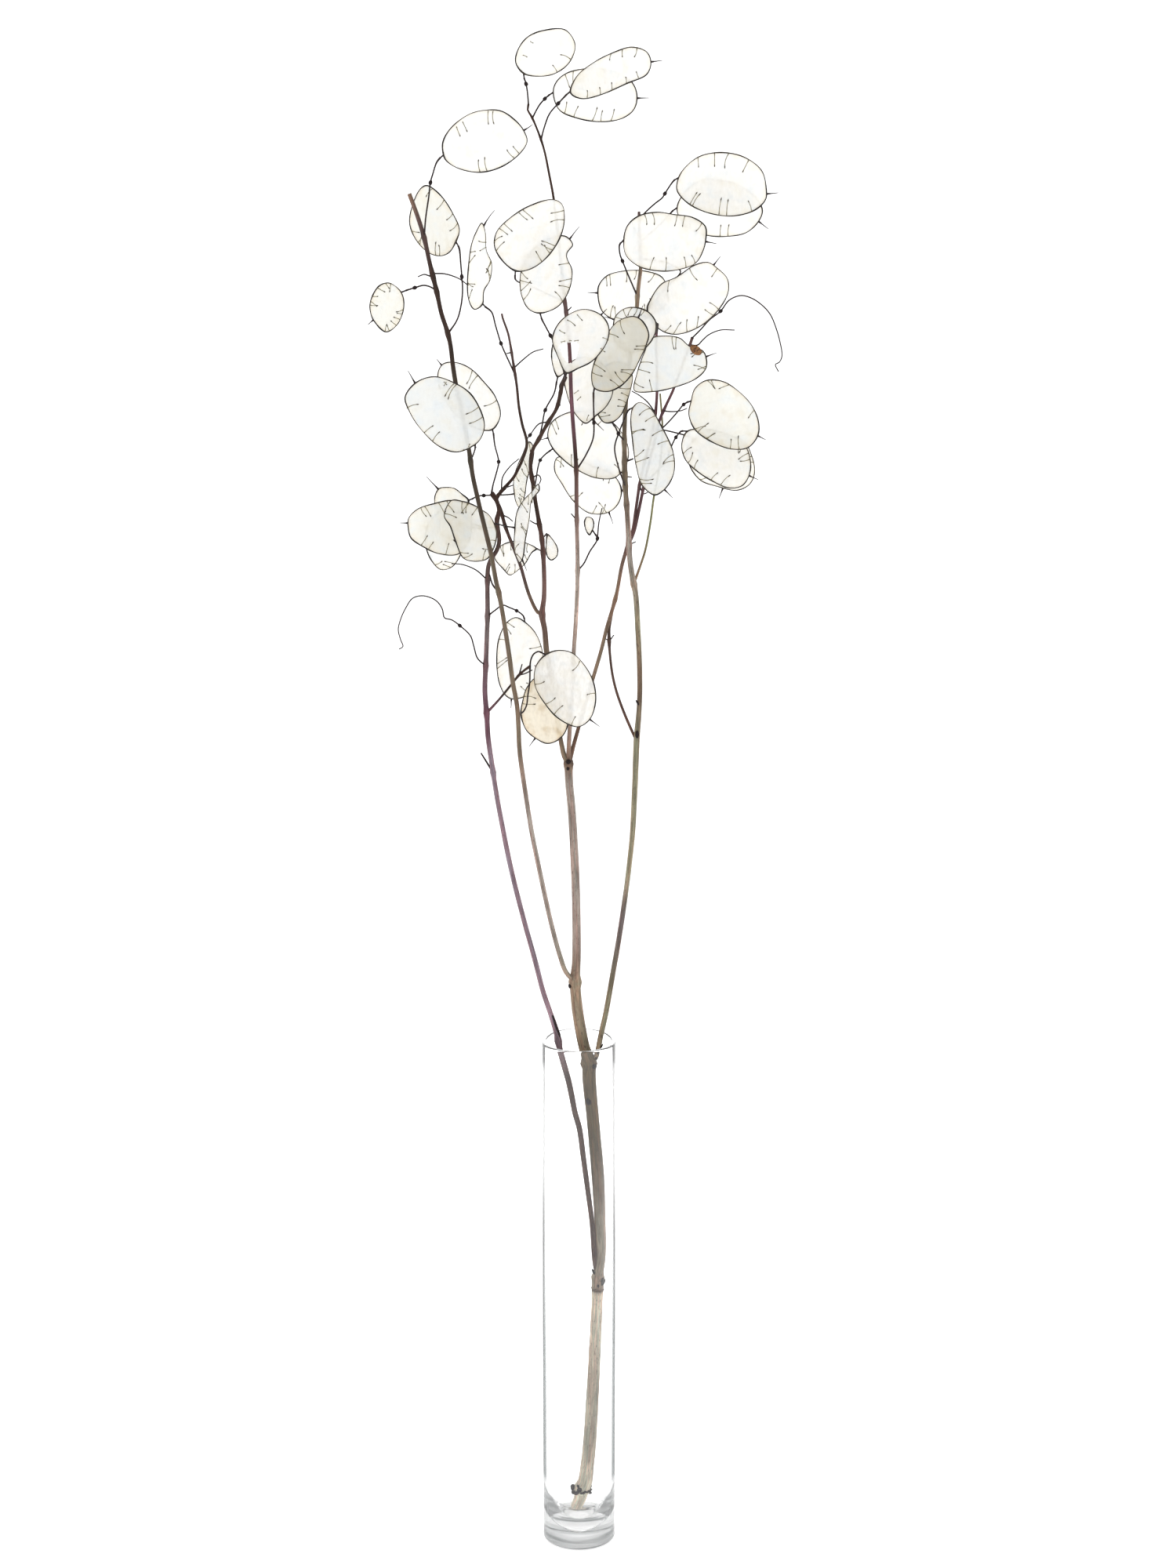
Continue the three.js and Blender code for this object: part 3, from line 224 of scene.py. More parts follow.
BRANCHES: tuple[Branch, ...] = (
    Branch("main", route=(
        (734.6, 1928.5, 5.3, 3.7), (740.3, 1910, 5, 3.8), (741, 1904, 4.9, 4), (741.6, 1899, 4.8, 5.2),
        (743.4, 1894, 4.7, 4.6), (746.2, 1888, 4.6, 4.2), (748.8, 1870, 4.4, 3.9), (752, 1840, 4),
        (757, 1760, 3, 3.6), (762, 1660, 2, 3.2), (762.8, 1641, 2, 3.6), (763.5, 1625, 1.8, 3),
        (767, 1600, 1, 2.9), (766, 1560, 1, 3.3), (763, 1500, 0.5, 3.7), (759.5, 1460),
        (755.7, 1420, 0, 3.6), (751.8, 1379, 0, 3.9), (750.8, 1354, 0, 3.8), (745, 1335, 0, 3.2),
        (736.4, 1287, 0, 3.1), (733.6, 1249, 0, 2.9), (735, 1230, 0, 2.4), (735.5, 1200), (735, 1160),
        (734.6, 1140, 0, 2.3), (733, 1100), (731, 1060), (728, 1020), (726, 1000, 0, 2.2),
        (725, 970, 0, 2.2),
    ), tones=(
        (0.0, Bark.PALE), (0.03, Bark.PALE), (0.055, Bark.IVORY), (0.09, Bark.ASH),
        (0.18, Bark.ASH), (0.235, Bark.IVORY), (0.272, Bark.PALE), (0.307, Bark.PALE),
        (0.311, Bark.NODE), (0.316, Bark.GREY), (0.335, Bark.GREY), (0.38, Bark.HAY),
        (0.41, Bark.GREY), (0.45, Bark.DARK_TAN), (0.53, Bark.MOSS), (0.605, Bark.MOSS),
        (0.64, Bark.GREY_OLIVE), (0.67, Bark.TAN), (0.72, Bark.TAN),
        (0.77, Bark.ROSE_GREY), (0.975, Bark.ROSE_GREY), (0.992, Bark.BROWN),
        (1.0, Bark.NODE),
    )),
    Branch("leftLow", root="main", route=(
        (761, 1628, 1.5, 1.5), (759.3, 1611, 0.6), (755.2, 1560, -1, 1.45), (750, 1520), (744.5, 1480),
        (739, 1440), (733.4, 1420), (729.5, 1400), (725, 1379, -5), (714.4, 1340),
        (709.7, 1316, -6, 1.7), (702, 1292, -6.5, 1.4), (692.4, 1263.5), (683.8, 1230, -8), (670, 1180),
        (659.5, 1140), (650, 1100), (642, 1060), (634.5, 1020), (631, 999, -12, 1.3), (627.6, 975.5),
        (622.5, 940), (621, 914, -12, 1.4), (618.5, 881), (620, 839.5, -12), (621.8, 786, -12, 1.25),
        (621.8, 740, -14), (623, 722, -15), (627.5, 711, -16), (632.5, 704, -15), (636.5, 693, -14),
        (636.5, 683, -13), (634, 672, -12), (634, 662, -11), (636.5, 651, -10), (633, 638, -9),
        (627, 629, -9, 1.1),
    ), tones=(
        (0.0, Bark.SLATE), (0.26, Bark.SLATE), (0.34, Bark.MAUVE), (0.68, Bark.MAUVE),
        (0.71, Bark.PURPLE), (0.75, Bark.PURPLE), (0.83, Bark.MAUVE_BROWN),
        (0.9, Bark.DUSK), (1.0, Bark.SOOT),
    )),
    Branch("leftHigh", root="main", route=(
        (726, 1253, -2, 1.3), (722, 1240), (714.5, 1220, -4), (703.5, 1180), (694.5, 1140), (686, 1100),
        (678, 1060), (671.5, 1020), (668.5, 1000, -20, 1.25), (663, 960), (661, 920, -27), (659.5, 900),
        (654, 870), (650, 840, -32), (644, 800), (637, 760, -37), (632.5, 740), (626, 705, -41),
        (620.5, 682), (614.8, 659), (608, 630, -44), (603, 607), (598, 573, -45), (590, 530),
        (581.6, 491, -47), (577.6, 465.5), (574.5, 440), (570, 421, -49), (563, 400),
        (557, 372, -50, 1.15), (548, 335, -50), (541, 303, -49), (534, 280), (522, 247, -48, 1.1),
    ), tones=(
        (0.0, Bark.GREY), (0.08, Bark.ROSE_GREY), (0.25, Bark.ROSE_GREY),
        (0.33, Bark.DARK_TAN), (0.5, Bark.DARK_TAN), (0.62, Bark.UMBER),
        (0.72, Bark.UMBER), (0.83, Bark.SOOT), (0.9, Bark.SOOT), (0.97, Bark.DUSK),
        (1.0, Bark.BROWN),
    )),
    Branch("right", root="main", route=(
        (757, 1358, 0, 1.5), (760.4, 1350), (763, 1338, 0), (766.5, 1320), (772.8, 1292, 2),
        (782, 1240), (789, 1200), (798, 1140), (803, 1100, 10, 1.4), (807, 1060), (809, 1020),
        (810, 1000), (812, 945, 18, 1.7), (815.5, 900, 19, 1.4), (816, 860), (813.5, 800), (811, 760),
        (807.5, 740, 22, 1.5), (803.8, 718), (801.5, 680), (799, 640), (797.5, 620, 24, 1.3),
        (796.5, 580), (797, 535, 24), (803, 463), (812.4, 391, 24, 1.1), (813, 378), (815, 360),
        (817, 343, 23), (816, 305, 22, 0.9), (815, 270, 20, 0.7),
    ), tones=(
        (0.0, Bark.GREY_OLIVE), (0.05, Bark.OLIVE), (0.1, Bark.GREY_OLIVE),
        (0.18, Bark.MAUVE_BROWN), (0.24, Bark.OLIVE), (0.38, Bark.OLIVE),
        (0.44, Bark.DARK_TAN), (0.48, Bark.DARK_TAN), (0.53, Bark.OLIVE),
        (0.61, Bark.ROSE_GREY), (0.68, Bark.DARK_TAN), (0.76, Bark.DARK_TAN),
        (0.9, Bark.TAN), (1.0, Bark.DUSK),
    )),
    Branch("middleLeft", root="main", route=(
        (725, 973, 0, 1.5), (720, 965, 0, 1.4), (715.4, 945, 1, 1.25), (711, 920, 0), (706, 890, -1),
        (701, 855, -2), (697, 829, -3, 1.5), (694.8, 804, -3), (691.5, 784, -4, 1.5),
        (694, 760, -5, 1.25), (693.5, 719, -7), (691.2, 688, -8), (687.3, 665, -8), (682.8, 639, -9),
        (680, 618, -10), (676.8, 596.5, -12), (679, 575, -15), (687.3, 560, -17), (699.6, 538, -20),
        (710.3, 520, -23), (717, 492, -24), (721, 481, -26, 0.9),
    ), tones=(
        (0.0, Bark.TAN), (0.1, Bark.NODE), (0.25, Bark.DARK_TAN), (0.4, Bark.RUSSET),
        (0.5, Bark.RUSSET), (0.62, Bark.SOOT), (1.0, Bark.SOOT),
    )),
    Branch("leader", root="main", route=(
        (725, 973, 0, 1.5), (725.6, 951, -1, 1.2), (727, 925, -2), (730, 880, -3), (732, 830, -5),
        (733.7, 804, -6), (736, 760, -8), (736.8, 719, -10), (736, 682, -12), (735.4, 640, -14),
        (735, 600, -15.5), (733.3, 570, -17.5), (730.5, 535, -19), (728.4, 500, -20),
        (727.6, 470, -20.5), (726.4, 445, -20), (722.7, 403, -15, 1), (720, 381, -11), (715, 330, -6),
        (706, 252, -1, 0.65), (700, 220, 0), (695, 195, 1), (690, 178, 2), (681, 155, 3),
        (677, 147, 3.5), (673, 140, 4), (674, 133, 4, 0.5),
    ), tones=(
        (0.0, Bark.BROWN), (0.08, Bark.ROSE_GREY), (0.17, Bark.DUN),
        (0.25, Bark.PINK_TAN), (0.345, Bark.DUN), (0.42, Bark.RUSSET),
        (0.48, Bark.SOOT), (0.55, Bark.PURPLE), (0.72, Bark.DUSK), (0.8, Bark.SOOT),
        (1.0, Bark.SOOT),
    )),
    Branch("inner", root="middleLeft", route=(
        (691, 786, -4, 1.1), (686, 781, -3.5, 1), (675, 759, 0, 0.95), (663, 719, 2), (654, 696, 2),
        (644.5, 671.5, 3), (638, 648, 4), (633.5, 636, 5), (643, 623, 6), (655, 609, 6), (660, 600, 7),
        (666, 587, 8), (672, 566, 8, 0.8), (666, 541, 6), (662, 520, 4), (659, 491, 2), (655, 465, 0),
        (651, 440, -1), (648, 425, -3), (641, 405, -4), (640, 400, -4, 0.55),
    ), tones=(
        (0.0, Bark.BROWN), (0.15, Bark.DUSK), (0.35, Bark.SOOT), (0.7, Bark.SOOT),
        (1.0, Bark.DUSK),
    )),
    Branch("arch", root="main", route=(
        (725, 973, 0, 1.5), (731.5, 951, 4, 1.1), (737.4, 930, 7, 1.05), (747, 897, 14), (757, 863, 19),
        (766.7, 830, 23), (774, 801, 27), (785.8, 760, 31), (794, 718, 34), (803, 690, 36, 1),
    ), tones=(
        (0.0, Bark.NODE), (0.3, Bark.BROWN), (0.8, Bark.BROWN), (1.0, Bark.DUSK),
    )),
    Branch("archInner", root="arch", route=(
        (802, 694, 36, 0.95), (807, 676, 36, 0.85), (811, 650), (815.7, 619, 36), (822, 590),
        (830, 560), (836, 527, 36), (838, 500, 36), (838, 470, 33), (837, 440, 30),
        (838, 412, 26, 0.75),
    ), tones=((0.0, Bark.DUSK), (1.0, Bark.PURPLE))),
    Branch("archOuter", root="arch", route=(
        (802, 694, 36, 0.95), (808, 680), (814, 655), (820, 626, 36, 0.85), (828, 590), (835, 562),
        (841, 537, 36), (850, 516), (858, 499, 35), (867, 475, 34), (876, 450, 31), (880, 440, 29),
        (883, 431, 26, 0.7),
    ), tones=((0.0, Bark.DUSK), (0.5, Bark.PURPLE), (1.0, Bark.DUSK))),
    Branch("greenTwig", root="right", route=(
        (808, 743, 22, 0.8), (818, 718, 26, 0.65), (823, 702, 29), (829.7, 666, 33), (834, 634, 36.5),
        (842, 590, 39), (845, 550, 40), (842, 502, 40, 0.5),
    ), tones=((0.0, Bark.BROWN), (0.3, Bark.GREEN), (1.0, Bark.GREEN))),
    Branch("greyTwig", root="arch", route=(
        (785, 763, 31, 0.7), (783, 770, 30.5), (779, 790), (777, 802), (777, 818, 27, 0.9),
        (778, 835, 26, 0.7), (781, 859.5), (786, 881), (793.6, 903), (802.5, 924.5),
        (811, 943, 18, 0.8),
    ), tones=(
        (0.0, Bark.BROWN), (0.25, Bark.SLATE), (0.8, Bark.SLATE), (1.0, Bark.NODE),
    )),
    Branch("lowTwig", root="leftLow", route=(
        (621, 911, -12, 0.8), (635, 894, -15, 0.65), (650, 876, -20), (662, 861, -23), (670, 854, -25),
        (676, 850, -26, 0.6),
    ), tones=((0.0, Bark.PURPLE), (0.4, Bark.SOOT), (1.0, Bark.SOOT))),
)

THREADS: tuple[Thread, ...] = (
    Thread("leftLow", (
        (619, 849), (609, 839.5, -16), (604, 823, -19), (600, 811, -21), (586.5, 798, -24),
        (576, 790.6), (567, 788), (564, 776.5), (556, 766), (540, 760, -31), (526.5, 763), (517, 776.5),
        (511, 790), (508, 803), (511, 816), (514, 824.6), (509, 828, -35),
    ), knot=4),
    Thread("leftLow", ((621.8, 740), (607, 727, -17), (589.5, 720, -19), (576, 719, -20))),
    Thread("leftHigh", ((551, 352), (545, 351, -51), (541, 350, -52), (533, 353, -53))),
    Thread("leftHigh", (
        (552, 351), (565, 349, -46), (580, 353, -38), (588, 357, -34), (597, 364, -30),
    )),
    Thread("inner", ((656, 470), (668, 458, -3), (680, 449, -5), (693, 445, -8))),
    Thread("inner", (
        (635, 634), (639, 627, 7), (641, 609, 9), (650.6, 595, 11), (662, 585, 12),
    ), knot=1),
    Thread("inner", ((641, 625), (648, 621, 3), (654, 619, 1))),
    Thread("inner", ((640, 657), (648, 660, 1), (654, 665, -1))),
    Thread("inner", ((652, 452), (646, 451, 0))),
    Thread("middleLeft", ((699.6, 537), (687, 541, -16), (676, 555, -13), (673, 559, -12)), knot=2),
    Thread("middleLeft", ((680, 608), (687, 606, -12), (690, 611, -13), (688, 617, -14))),
    Thread("middleLeft", ((687, 669), (681, 667, -9), (676, 664, -10))),
    Thread("middleLeft", ((711, 516), (715, 517, -24))),
    Thread("pod_middle_10", ((762, 687), (764, 666, -1), (768, 648, 0))),
    Thread("leader", ((735.5, 664), (728.4, 655, -13))),
    Thread("leader", ((723, 400), (729, 391.5, -15))),
    Thread("archOuter", (
        (883, 432), (894, 420, 22), (905, 408, 20), (919, 397, 18), (930, 383, 16), (945, 377, 14),
        (960, 381, 12), (975, 392, 10), (983, 402, 9), (989, 416, 8), (994.6, 435, 8), (997.4, 454, 8),
        (994, 462, 9), (989, 465, 10), (993, 474, 10),
    ), knot=3),
    Thread("archOuter", (
        (880, 440), (890, 440, 26), (896, 434, 25), (904, 427, 24), (919, 421, 22), (937, 421, 21),
    )),
    Thread("archOuter", ((847, 524), (857, 525, 29), (868, 524, 22), (876, 521, 15))),
    Thread("archInner", ((836, 526), (826, 513, 33), (815, 504, 30), (806, 499, 26))),
    Thread("archInner", ((816, 620), (821, 630, 38), (826, 628, 39))),
    Thread("arch", ((801, 700), (796, 706, 37))),
    Thread("greyTwig", ((777, 818), (773, 815, 28))),
    Thread("greyTwig", ((777, 818), (783, 810, 26))),
    Thread("right", ((798, 590), (808, 585, 24)), radius=0.6),
    Thread("right", ((798, 607), (806, 608.5, 25))),
    Thread("right", ((798, 602), (791, 603, 23))),
    Thread("right", ((802, 693), (811, 691, 25))),
    Thread("right", ((816, 305), (806, 285, 22))),
    Thread("leftLow", ((629, 983), (613.5, 960.5, -11)), radius=0.6),
    Thread("leftLow", (
        (712.5, 1326), (713.5, 1320, -7), (710, 1311, -7.5), (704.8, 1295, -7.5),
    ), radius=0.75, tone=Bark.KNOT),
    Thread("leftHigh", ((633, 755), (628, 745, -35), (624.5, 733, -34)), radius=0.55),
    Thread("lowTwig", ((663, 860), (666, 847, -23))),
    Thread("lowTwig", ((661, 862), (670, 859, -20), (679, 854.5, -19))),
)

PODS: tuple[Pod, ...] = (
    Pod("pod_crown_1", "leader", depth=8, yaw=20, pitch=10, knot=0, rim=(
        (667, 95), (656, 80), (659, 63), (672, 46), (694, 37), (722, 37), (735, 57), (728, 80),
        (709, 95), (688, 99),
    ), stalk=((671, 107), (673, 120), (674, 134)), threads=(
        ((675, 52), (680, 55)), ((665, 70), (672, 73)), ((729, 76), (714, 70)), ((711, 93), (704, 83)),
    )),
    Pod("pod_crown_2", "leader", depth=-12, yaw=-15, style=(845, 77), knot=0, rim=(
        (726, 117), (735, 96), (757, 78), (783, 65), (806, 58.5), (826, 65), (832, 80), (826, 96),
        (800, 108), (765, 123), (743, 127.5), (730, 123),
    ), stalk=((712, 132), (701, 145), (695, 160), (690, 177)), threads=(
        ((780, 67), (778, 77)), ((794, 62), (794, 73)), ((813, 60), (809, 73)),
        ((749, 126), (749, 115)), ((766, 122), (765, 111)), ((781, 117), (780, 105)),
        ((799, 108), (798, 98)), ((815, 101), (812, 91)),
    )),
    Pod("pod_crown_3", "leader", depth=16, yaw=10, style=(828, 125), knot=0, rim=(
        (704, 118), (708, 104), (720, 93), (740, 87), (765, 86), (790, 92), (808, 105), (814, 122),
        (810, 140), (795, 152), (768, 157), (735, 152), (712, 141),
    ), stalk=((695, 126), (688, 134), (680, 151))),
    Pod("pod_left_1", "leftHigh", depth=-60, yaw=15, pitch=-10, style=(680, 159), knot=2, rim=(
        (564, 198), (563, 181), (573, 163), (597, 145), (620, 139), (640, 140), (658, 152), (669, 165),
        (674, 181), (663, 198), (638, 215), (611, 221.5), (583, 216), (568, 206),
    ), stalk=((557, 207), (552, 222), (549, 233, -55), (547, 250, -55), (543, 278, -53), (541, 303)),
        threads=(
        ((581.6, 160), (587, 174)), ((589.3, 154), (596.3, 168.6)), ((622.7, 140), (622.8, 158.7)),
        ((628.6, 140), (629.7, 158)), ((612.2, 220), (610.3, 203.3)), ((621.2, 219.3), (618.2, 200.2)),
        ((656.3, 202), (646.3, 190.6)), ((662.6, 196.3), (653.7, 186)),
    )),
    Pod("pod_left_2", "leftHigh", depth=-36, yaw=-30, tone=Paper.SILK, knot=2, rim=(
        (583, 309), (574, 323), (562, 328), (547, 324), (530, 307), (521, 285), (524, 262), (535, 240),
        (545, 235), (563, 248), (580, 273), (588, 293),
    ), stalk=((586, 318), (588, 340), (589, 353), (590, 370), (588, 390), (583, 408), (572, 424))),
    Pod("pod_left_3", "leftHigh", depth=-55, yaw=30, tone=Paper.SILK, style=(469, 414), knot=0,
        rim=(
        (513, 372), (497, 359.5), (482, 364), (471, 384), (471, 399), (476, 411), (492, 425),
        (509, 414), (517, 391),
    ), stalk=((529, 367), (541, 364), (551, 367), (557, 373))),
    Pod("pod_left_4", "leftHigh", depth=-62, yaw=10, pitch=-5, tone=Paper.COOL, style=(520.5, 473),
        rim=(
        (607, 568), (583, 578), (560, 571), (536, 549), (521, 526), (515, 506), (529, 487), (553, 479),
        (578, 486), (600, 500), (614, 522), (619.5, 543), (615, 559),
    ), stalk=((605, 576), (600, 587)), threads=(
        ((580, 488), (567.3, 506)), ((583, 489), (571.4, 509.7)), ((613, 517.5), (593.9, 528.6)),
        ((617, 531), (598, 540.3)), ((517, 521), (534, 515.3)), ((539.8, 553), (553, 543)),
        ((550.7, 564), (561.2, 550.5)), ((565, 486), (570, 491)), ((570, 486), (566, 492)),
        ((587, 576), (592, 573)), ((597, 571), (599, 566)),
    )),
    Pod("pod_inner_1", "inner", depth=-8, yaw=60, style=(630, 268), knot=2, rim=(
        (615, 388), (604, 396), (597, 382), (597, 345), (600, 312), (607, 294), (615, 283), (620, 297),
        (621, 318), (628, 337), (625, 358), (617, 372),
    ), stalk=((627, 398), (632, 415), (639, 438), (645, 452), (656, 478))),
    Pod("pod_inner_2", "inner", depth=18, yaw=-60, tone=Paper.SILK, rim=(
        (656, 630), (655, 615), (658, 598), (666, 578), (675, 562), (681, 570), (680, 590), (673, 612),
        (670, 633), (664, 650), (658, 641),
    ), stalk=((647, 631), (637, 631))),
    Pod("pod_inner_3", "inner", depth=-18, yaw=-60, style=(673, 728), rim=(
        (657, 673), (659, 653), (667, 637), (679, 625), (687, 616), (689, 625), (678, 641), (675, 662),
        (671, 688), (668, 712), (663, 719), (656, 700),
    ), stalk=((650, 672), (644, 671))),
    Pod("pod_inner_4", "inner", depth=-28, yaw=10, tone=Paper.SILK, style=(569, 652), rim=(
        (632, 668), (625, 656), (615, 649), (605, 643), (590, 638), (575, 637), (565, 658), (573, 672),
        (580, 692), (590, 713), (604, 717.5), (622, 714), (631, 700), (635, 684),
    ), stalk=((637, 669), (643, 670))),
    Pod("pod_middle_1", "leader", depth=-34, yaw=-10, rim=(
        (657, 347), (639, 333), (629, 314), (632, 295), (648, 278), (675, 261), (705, 253), (718, 260),
        (721, 283), (714, 307), (697, 331), (676, 345),
    ), stalk=((657, 355, -31), (662, 360, -22), (672, 363, -15), (690, 371, -12), (719, 388))),
    Pod("pod_middle_2", "middleLeft", depth=-21, yaw=28, style=(739, 289), knot=1, rim=(
        (689, 401), (673, 395), (663, 374), (663, 347), (676, 320), (700, 303), (722, 300), (732, 312),
        (724, 325), (731, 345), (727, 371), (713, 392),
    ), stalk=((691, 407), (702, 428, -27), (712, 449, -26), (722, 483))),
    Pod("pod_middle_3", "middleLeft", depth=-36, style=(774, 394), rim=(
        (722, 477), (710, 455), (703, 433), (711, 412), (728, 398), (746, 393), (768, 401), (778, 417),
        (775, 438), (757, 461), (738, 471),
    ), stalk=((721, 483),), tear=(
        (714, 441), (722, 437), (737, 438), (737, 449), (733, 460), (725, 463), (718, 454),
    ), threads=(
        ((722, 407), (734, 416)), ((735, 400), (743, 409)), ((712, 420), (721, 425)),
        ((714, 437), (721, 435)), ((724, 435), (729, 434.5)), ((731, 435), (738, 434)),
        ((767, 430), (776, 434)), ((765, 443), (772, 449)),
    )),
    # This pod's darker cream wall is partly painted shade from the overlapping pod behind it.
    Pod("pod_middle_4", "leader", depth=-12, tone=Paper.CREAM, style=(820, 390), knot=1, rim=(
        (757, 496), (753, 480), (757, 461), (768, 440), (778, 418), (790, 407), (808, 402), (820, 408),
        (829, 426), (825, 442), (815, 464), (808, 477), (792, 494), (774, 501),
    ), stalk=((757, 515), (757.6, 539), (756.5, 559), (747, 581), (735, 602))),
    Pod("pod_middle_5", "middleLeft", depth=0, yaw=10, style=(770, 549), rim=(
        (718, 484), (721, 500), (730, 525), (747, 541.5), (760, 532), (775, 518), (783, 500),
        (780, 478), (765, 460), (742, 454), (724, 464),
    ), stalk=((714, 492), (716, 500)), threads=(
        ((731, 503), (738, 498)), ((735, 512), (741, 506)), ((748, 538), (751, 529)),
    )),
    Pod("pod_middle_6", "middleLeft", depth=-12, knot=1, rim=(
        (711, 482), (704, 468), (702, 450), (705, 437), (712, 445), (718, 458), (722, 474),
    ), stalk=((707, 501), (695.5, 523), (691, 545), (687, 560))),
    Pod("pod_middle_7", "middleLeft", depth=36, yaw=8, style=(690, 561), knot=1, rim=(
        (704, 573), (697, 556), (703, 537), (728, 524), (757, 526), (785, 540), (802, 568), (801, 590),
        (786, 610), (760, 611), (733, 599), (716, 586),
    ), stalk=((695, 580), (689, 587), (686, 597), (684, 610), (682, 628))),
    Pod("pod_middle_8", "middleLeft", depth=8, rim=(
        (698, 680), (706, 687), (713, 701), (711, 711), (703, 716), (697, 711), (695, 695),
    ), stalk=((696, 682), (691.5, 688))),
    Pod("pod_middle_9", "middleLeft", depth=22, yaw=55, rim=(
        (685, 700), (678, 706), (670, 720), (662, 728), (650, 735), (641, 727), (630, 711), (636, 697),
        (650, 690), (668, 690),
    ), stalk=((689, 702), (692.5, 704))),
    Pod("pod_middle_10", "leader", depth=-3, knot=0, rim=(
        (757, 677), (752, 684), (747, 679), (744, 665), (748, 658), (756, 660), (759, 668),
    ), stalk=((762, 687), (752, 704, -6), (744.5, 719, -9), (737, 727))),
    Pod("pod_right_1", "right", depth=12, style=(993, 246), knot=1, rim=(
        (864, 226), (862, 243), (876, 260), (903, 273), (935, 277), (964, 269), (978, 255), (979, 241),
        (973, 217), (950, 199), (920, 193), (892, 198), (874, 211),
    ), stalk=((858, 232), (848, 247), (845, 252), (835, 260), (823, 271), (815.5, 279)), threads=(
        ((890, 199), (891, 213.7)), ((911.5, 194), (911.5, 213)), ((930, 194), (924.5, 215)),
        ((955.4, 203), (947, 220)), ((879, 262), (889.4, 245)), ((882.4, 264), (893.7, 246.6)),
        ((916.8, 275), (920.3, 252)), ((926.6, 276), (929, 253.7)), ((959, 271), (954, 255.8)),
    )),
    Pod("pod_right_2", "right", depth=24, style=(980, 292), rim=(
        (862, 265), (870, 247), (892, 229), (918, 228), (945, 236), (965, 251), (974, 268), (969, 283),
        (953, 298), (930, 303), (903, 302), (880, 294), (866, 280),
    ), stalk=((857, 270), (845, 283), (830, 297), (816, 310)), threads=(
        ((918.2, 303), (919.6, 286.6)), ((928.4, 303), (930, 286)),
    )),
    Pod("pod_right_3", "right", depth=6, yaw=-8, style=(914, 311), knot=2, rim=(
        (794, 306), (797, 326), (814, 341), (838, 347), (863, 346), (888, 337), (898, 321), (902, 305),
        (901, 288), (884, 276), (860, 272), (838, 269), (814, 274), (799, 287),
    ), stalk=((790, 313), (791, 325), (794, 333), (800, 348), (806, 362), (813, 376)), threads=(
        ((822, 272.4), (825, 287)), ((832, 270), (834.4, 287)), ((864, 272), (860.4, 288.7)),
        ((874, 274), (870.5, 289.4)), ((896, 283), (887.3, 295)), ((828.4, 345), (834.4, 328)),
        ((848.8, 347), (849.7, 328)), ((875.4, 342), (872.6, 327)), ((887.3, 337), (882, 325)),
    )),
    Pod("pod_right_4", "right", depth=40, style=(749, 373), knot=1, rim=(
        (852, 372), (846, 353), (822, 344), (796, 344), (774, 350), (763, 362), (761, 375), (767, 398),
        (785, 410), (812, 412), (838, 398),
    ), stalk=((852, 384), (845, 393), (830, 400), (811, 406))),
    Pod("pod_right_5", "right", depth=14, yaw=10, style=(919, 327), knot=1, rim=(
        (824, 395), (829, 381), (843, 361), (862, 352), (885, 337), (903, 333), (916, 341), (929, 355),
        (930, 373), (917, 397), (893, 418), (862, 428), (840, 421),
    ), stalk=(
        (838, 381, 17), (848, 368, 19), (864, 353, 20), (868, 346, 21), (850, 335, 22), (817, 330),
    )),
    # This pod's darker cream wall is partly painted shade from the overlapping pods behind it.
    Pod("pod_right_6", "right", depth=12, tone=Paper.CREAM, knot=1, rim=(
        (781, 540), (770, 540), (761, 528), (757, 503), (762, 478), (778, 462), (798, 462), (808, 478),
        (806, 496), (799, 518), (792, 532),
    ), stalk=((785, 545), (788.7, 553), (796.5, 562))),
    Pod("pod_right_7", "right", depth=8, tone=Paper.COOL, style=(858, 635), knot=2, rim=(
        (806, 519), (803, 534), (805, 560), (810, 595), (818, 620), (835, 633), (850, 624), (861, 603),
        (860, 576), (846, 545), (829, 518), (815, 511.5),
    ), stalk=(
        (801, 524), (797, 533, 12), (789, 553, 14), (784, 571, 16), (788, 593, 18), (795, 614, 20),
        (797.5, 622),
    )),
    Pod("pod_right_8", "right", depth=48, yaw=-20, style=(782, 668), rim=(
        (794, 624), (790, 643), (776, 655), (751, 656), (731, 641), (716, 618), (706, 600), (709, 583),
        (728, 582), (755, 592), (784, 606),
    ), stalk=((797, 630), (799, 642))),
    Pod("pod_arch_1", "archInner", depth=20, yaw=-8, tone=Paper.COOL, style=(914, 450), rim=(
        (829, 431), (850, 427), (868, 430), (880, 440), (897, 446), (902, 455), (902, 470), (889, 484),
        (862, 495), (833, 501), (808, 499), (811, 476), (820, 450),
    ), stalk=((831, 425), (838, 417))),
    Pod("pod_arch_2", "archInner", depth=2, style=(771, 404), rim=(
        (838, 411), (828, 397), (813, 391), (797, 392), (785, 401), (781, 412), (784, 438), (802, 450),
        (822, 446), (836, 428),
    ), stalk=((839, 414, 4), (838, 424.5, 12), (838, 423, 20), (838, 418))),
    Pod("pod_arch_3", "archOuter", depth=4, tone=Paper.SILK, style=(977, 561), knot=0, rim=(
        (880, 511), (877, 528), (884, 547), (902, 562), (932, 574), (955, 572), (968, 556), (969, 538),
        (960, 516), (942, 497), (922, 485), (900, 484), (885, 495),
    ), stalk=((872, 516), (862, 528), (847, 544), (839, 550))),
    Pod("pod_arch_4", "archOuter", depth=18, style=(967, 612), knot=1, rim=(
        (876, 549), (868, 567), (873, 587), (888, 602), (908, 615), (930, 624), (947, 621), (956, 609),
        (959, 592), (952, 568), (930, 553), (900, 546),
    ), stalk=((869, 550, 18), (862, 558, 22), (857, 568, 26), (848, 590, 31), (822, 615))),
    Pod("pod_arch_5", "archOuter", depth=30, style=(917, 636), rim=(
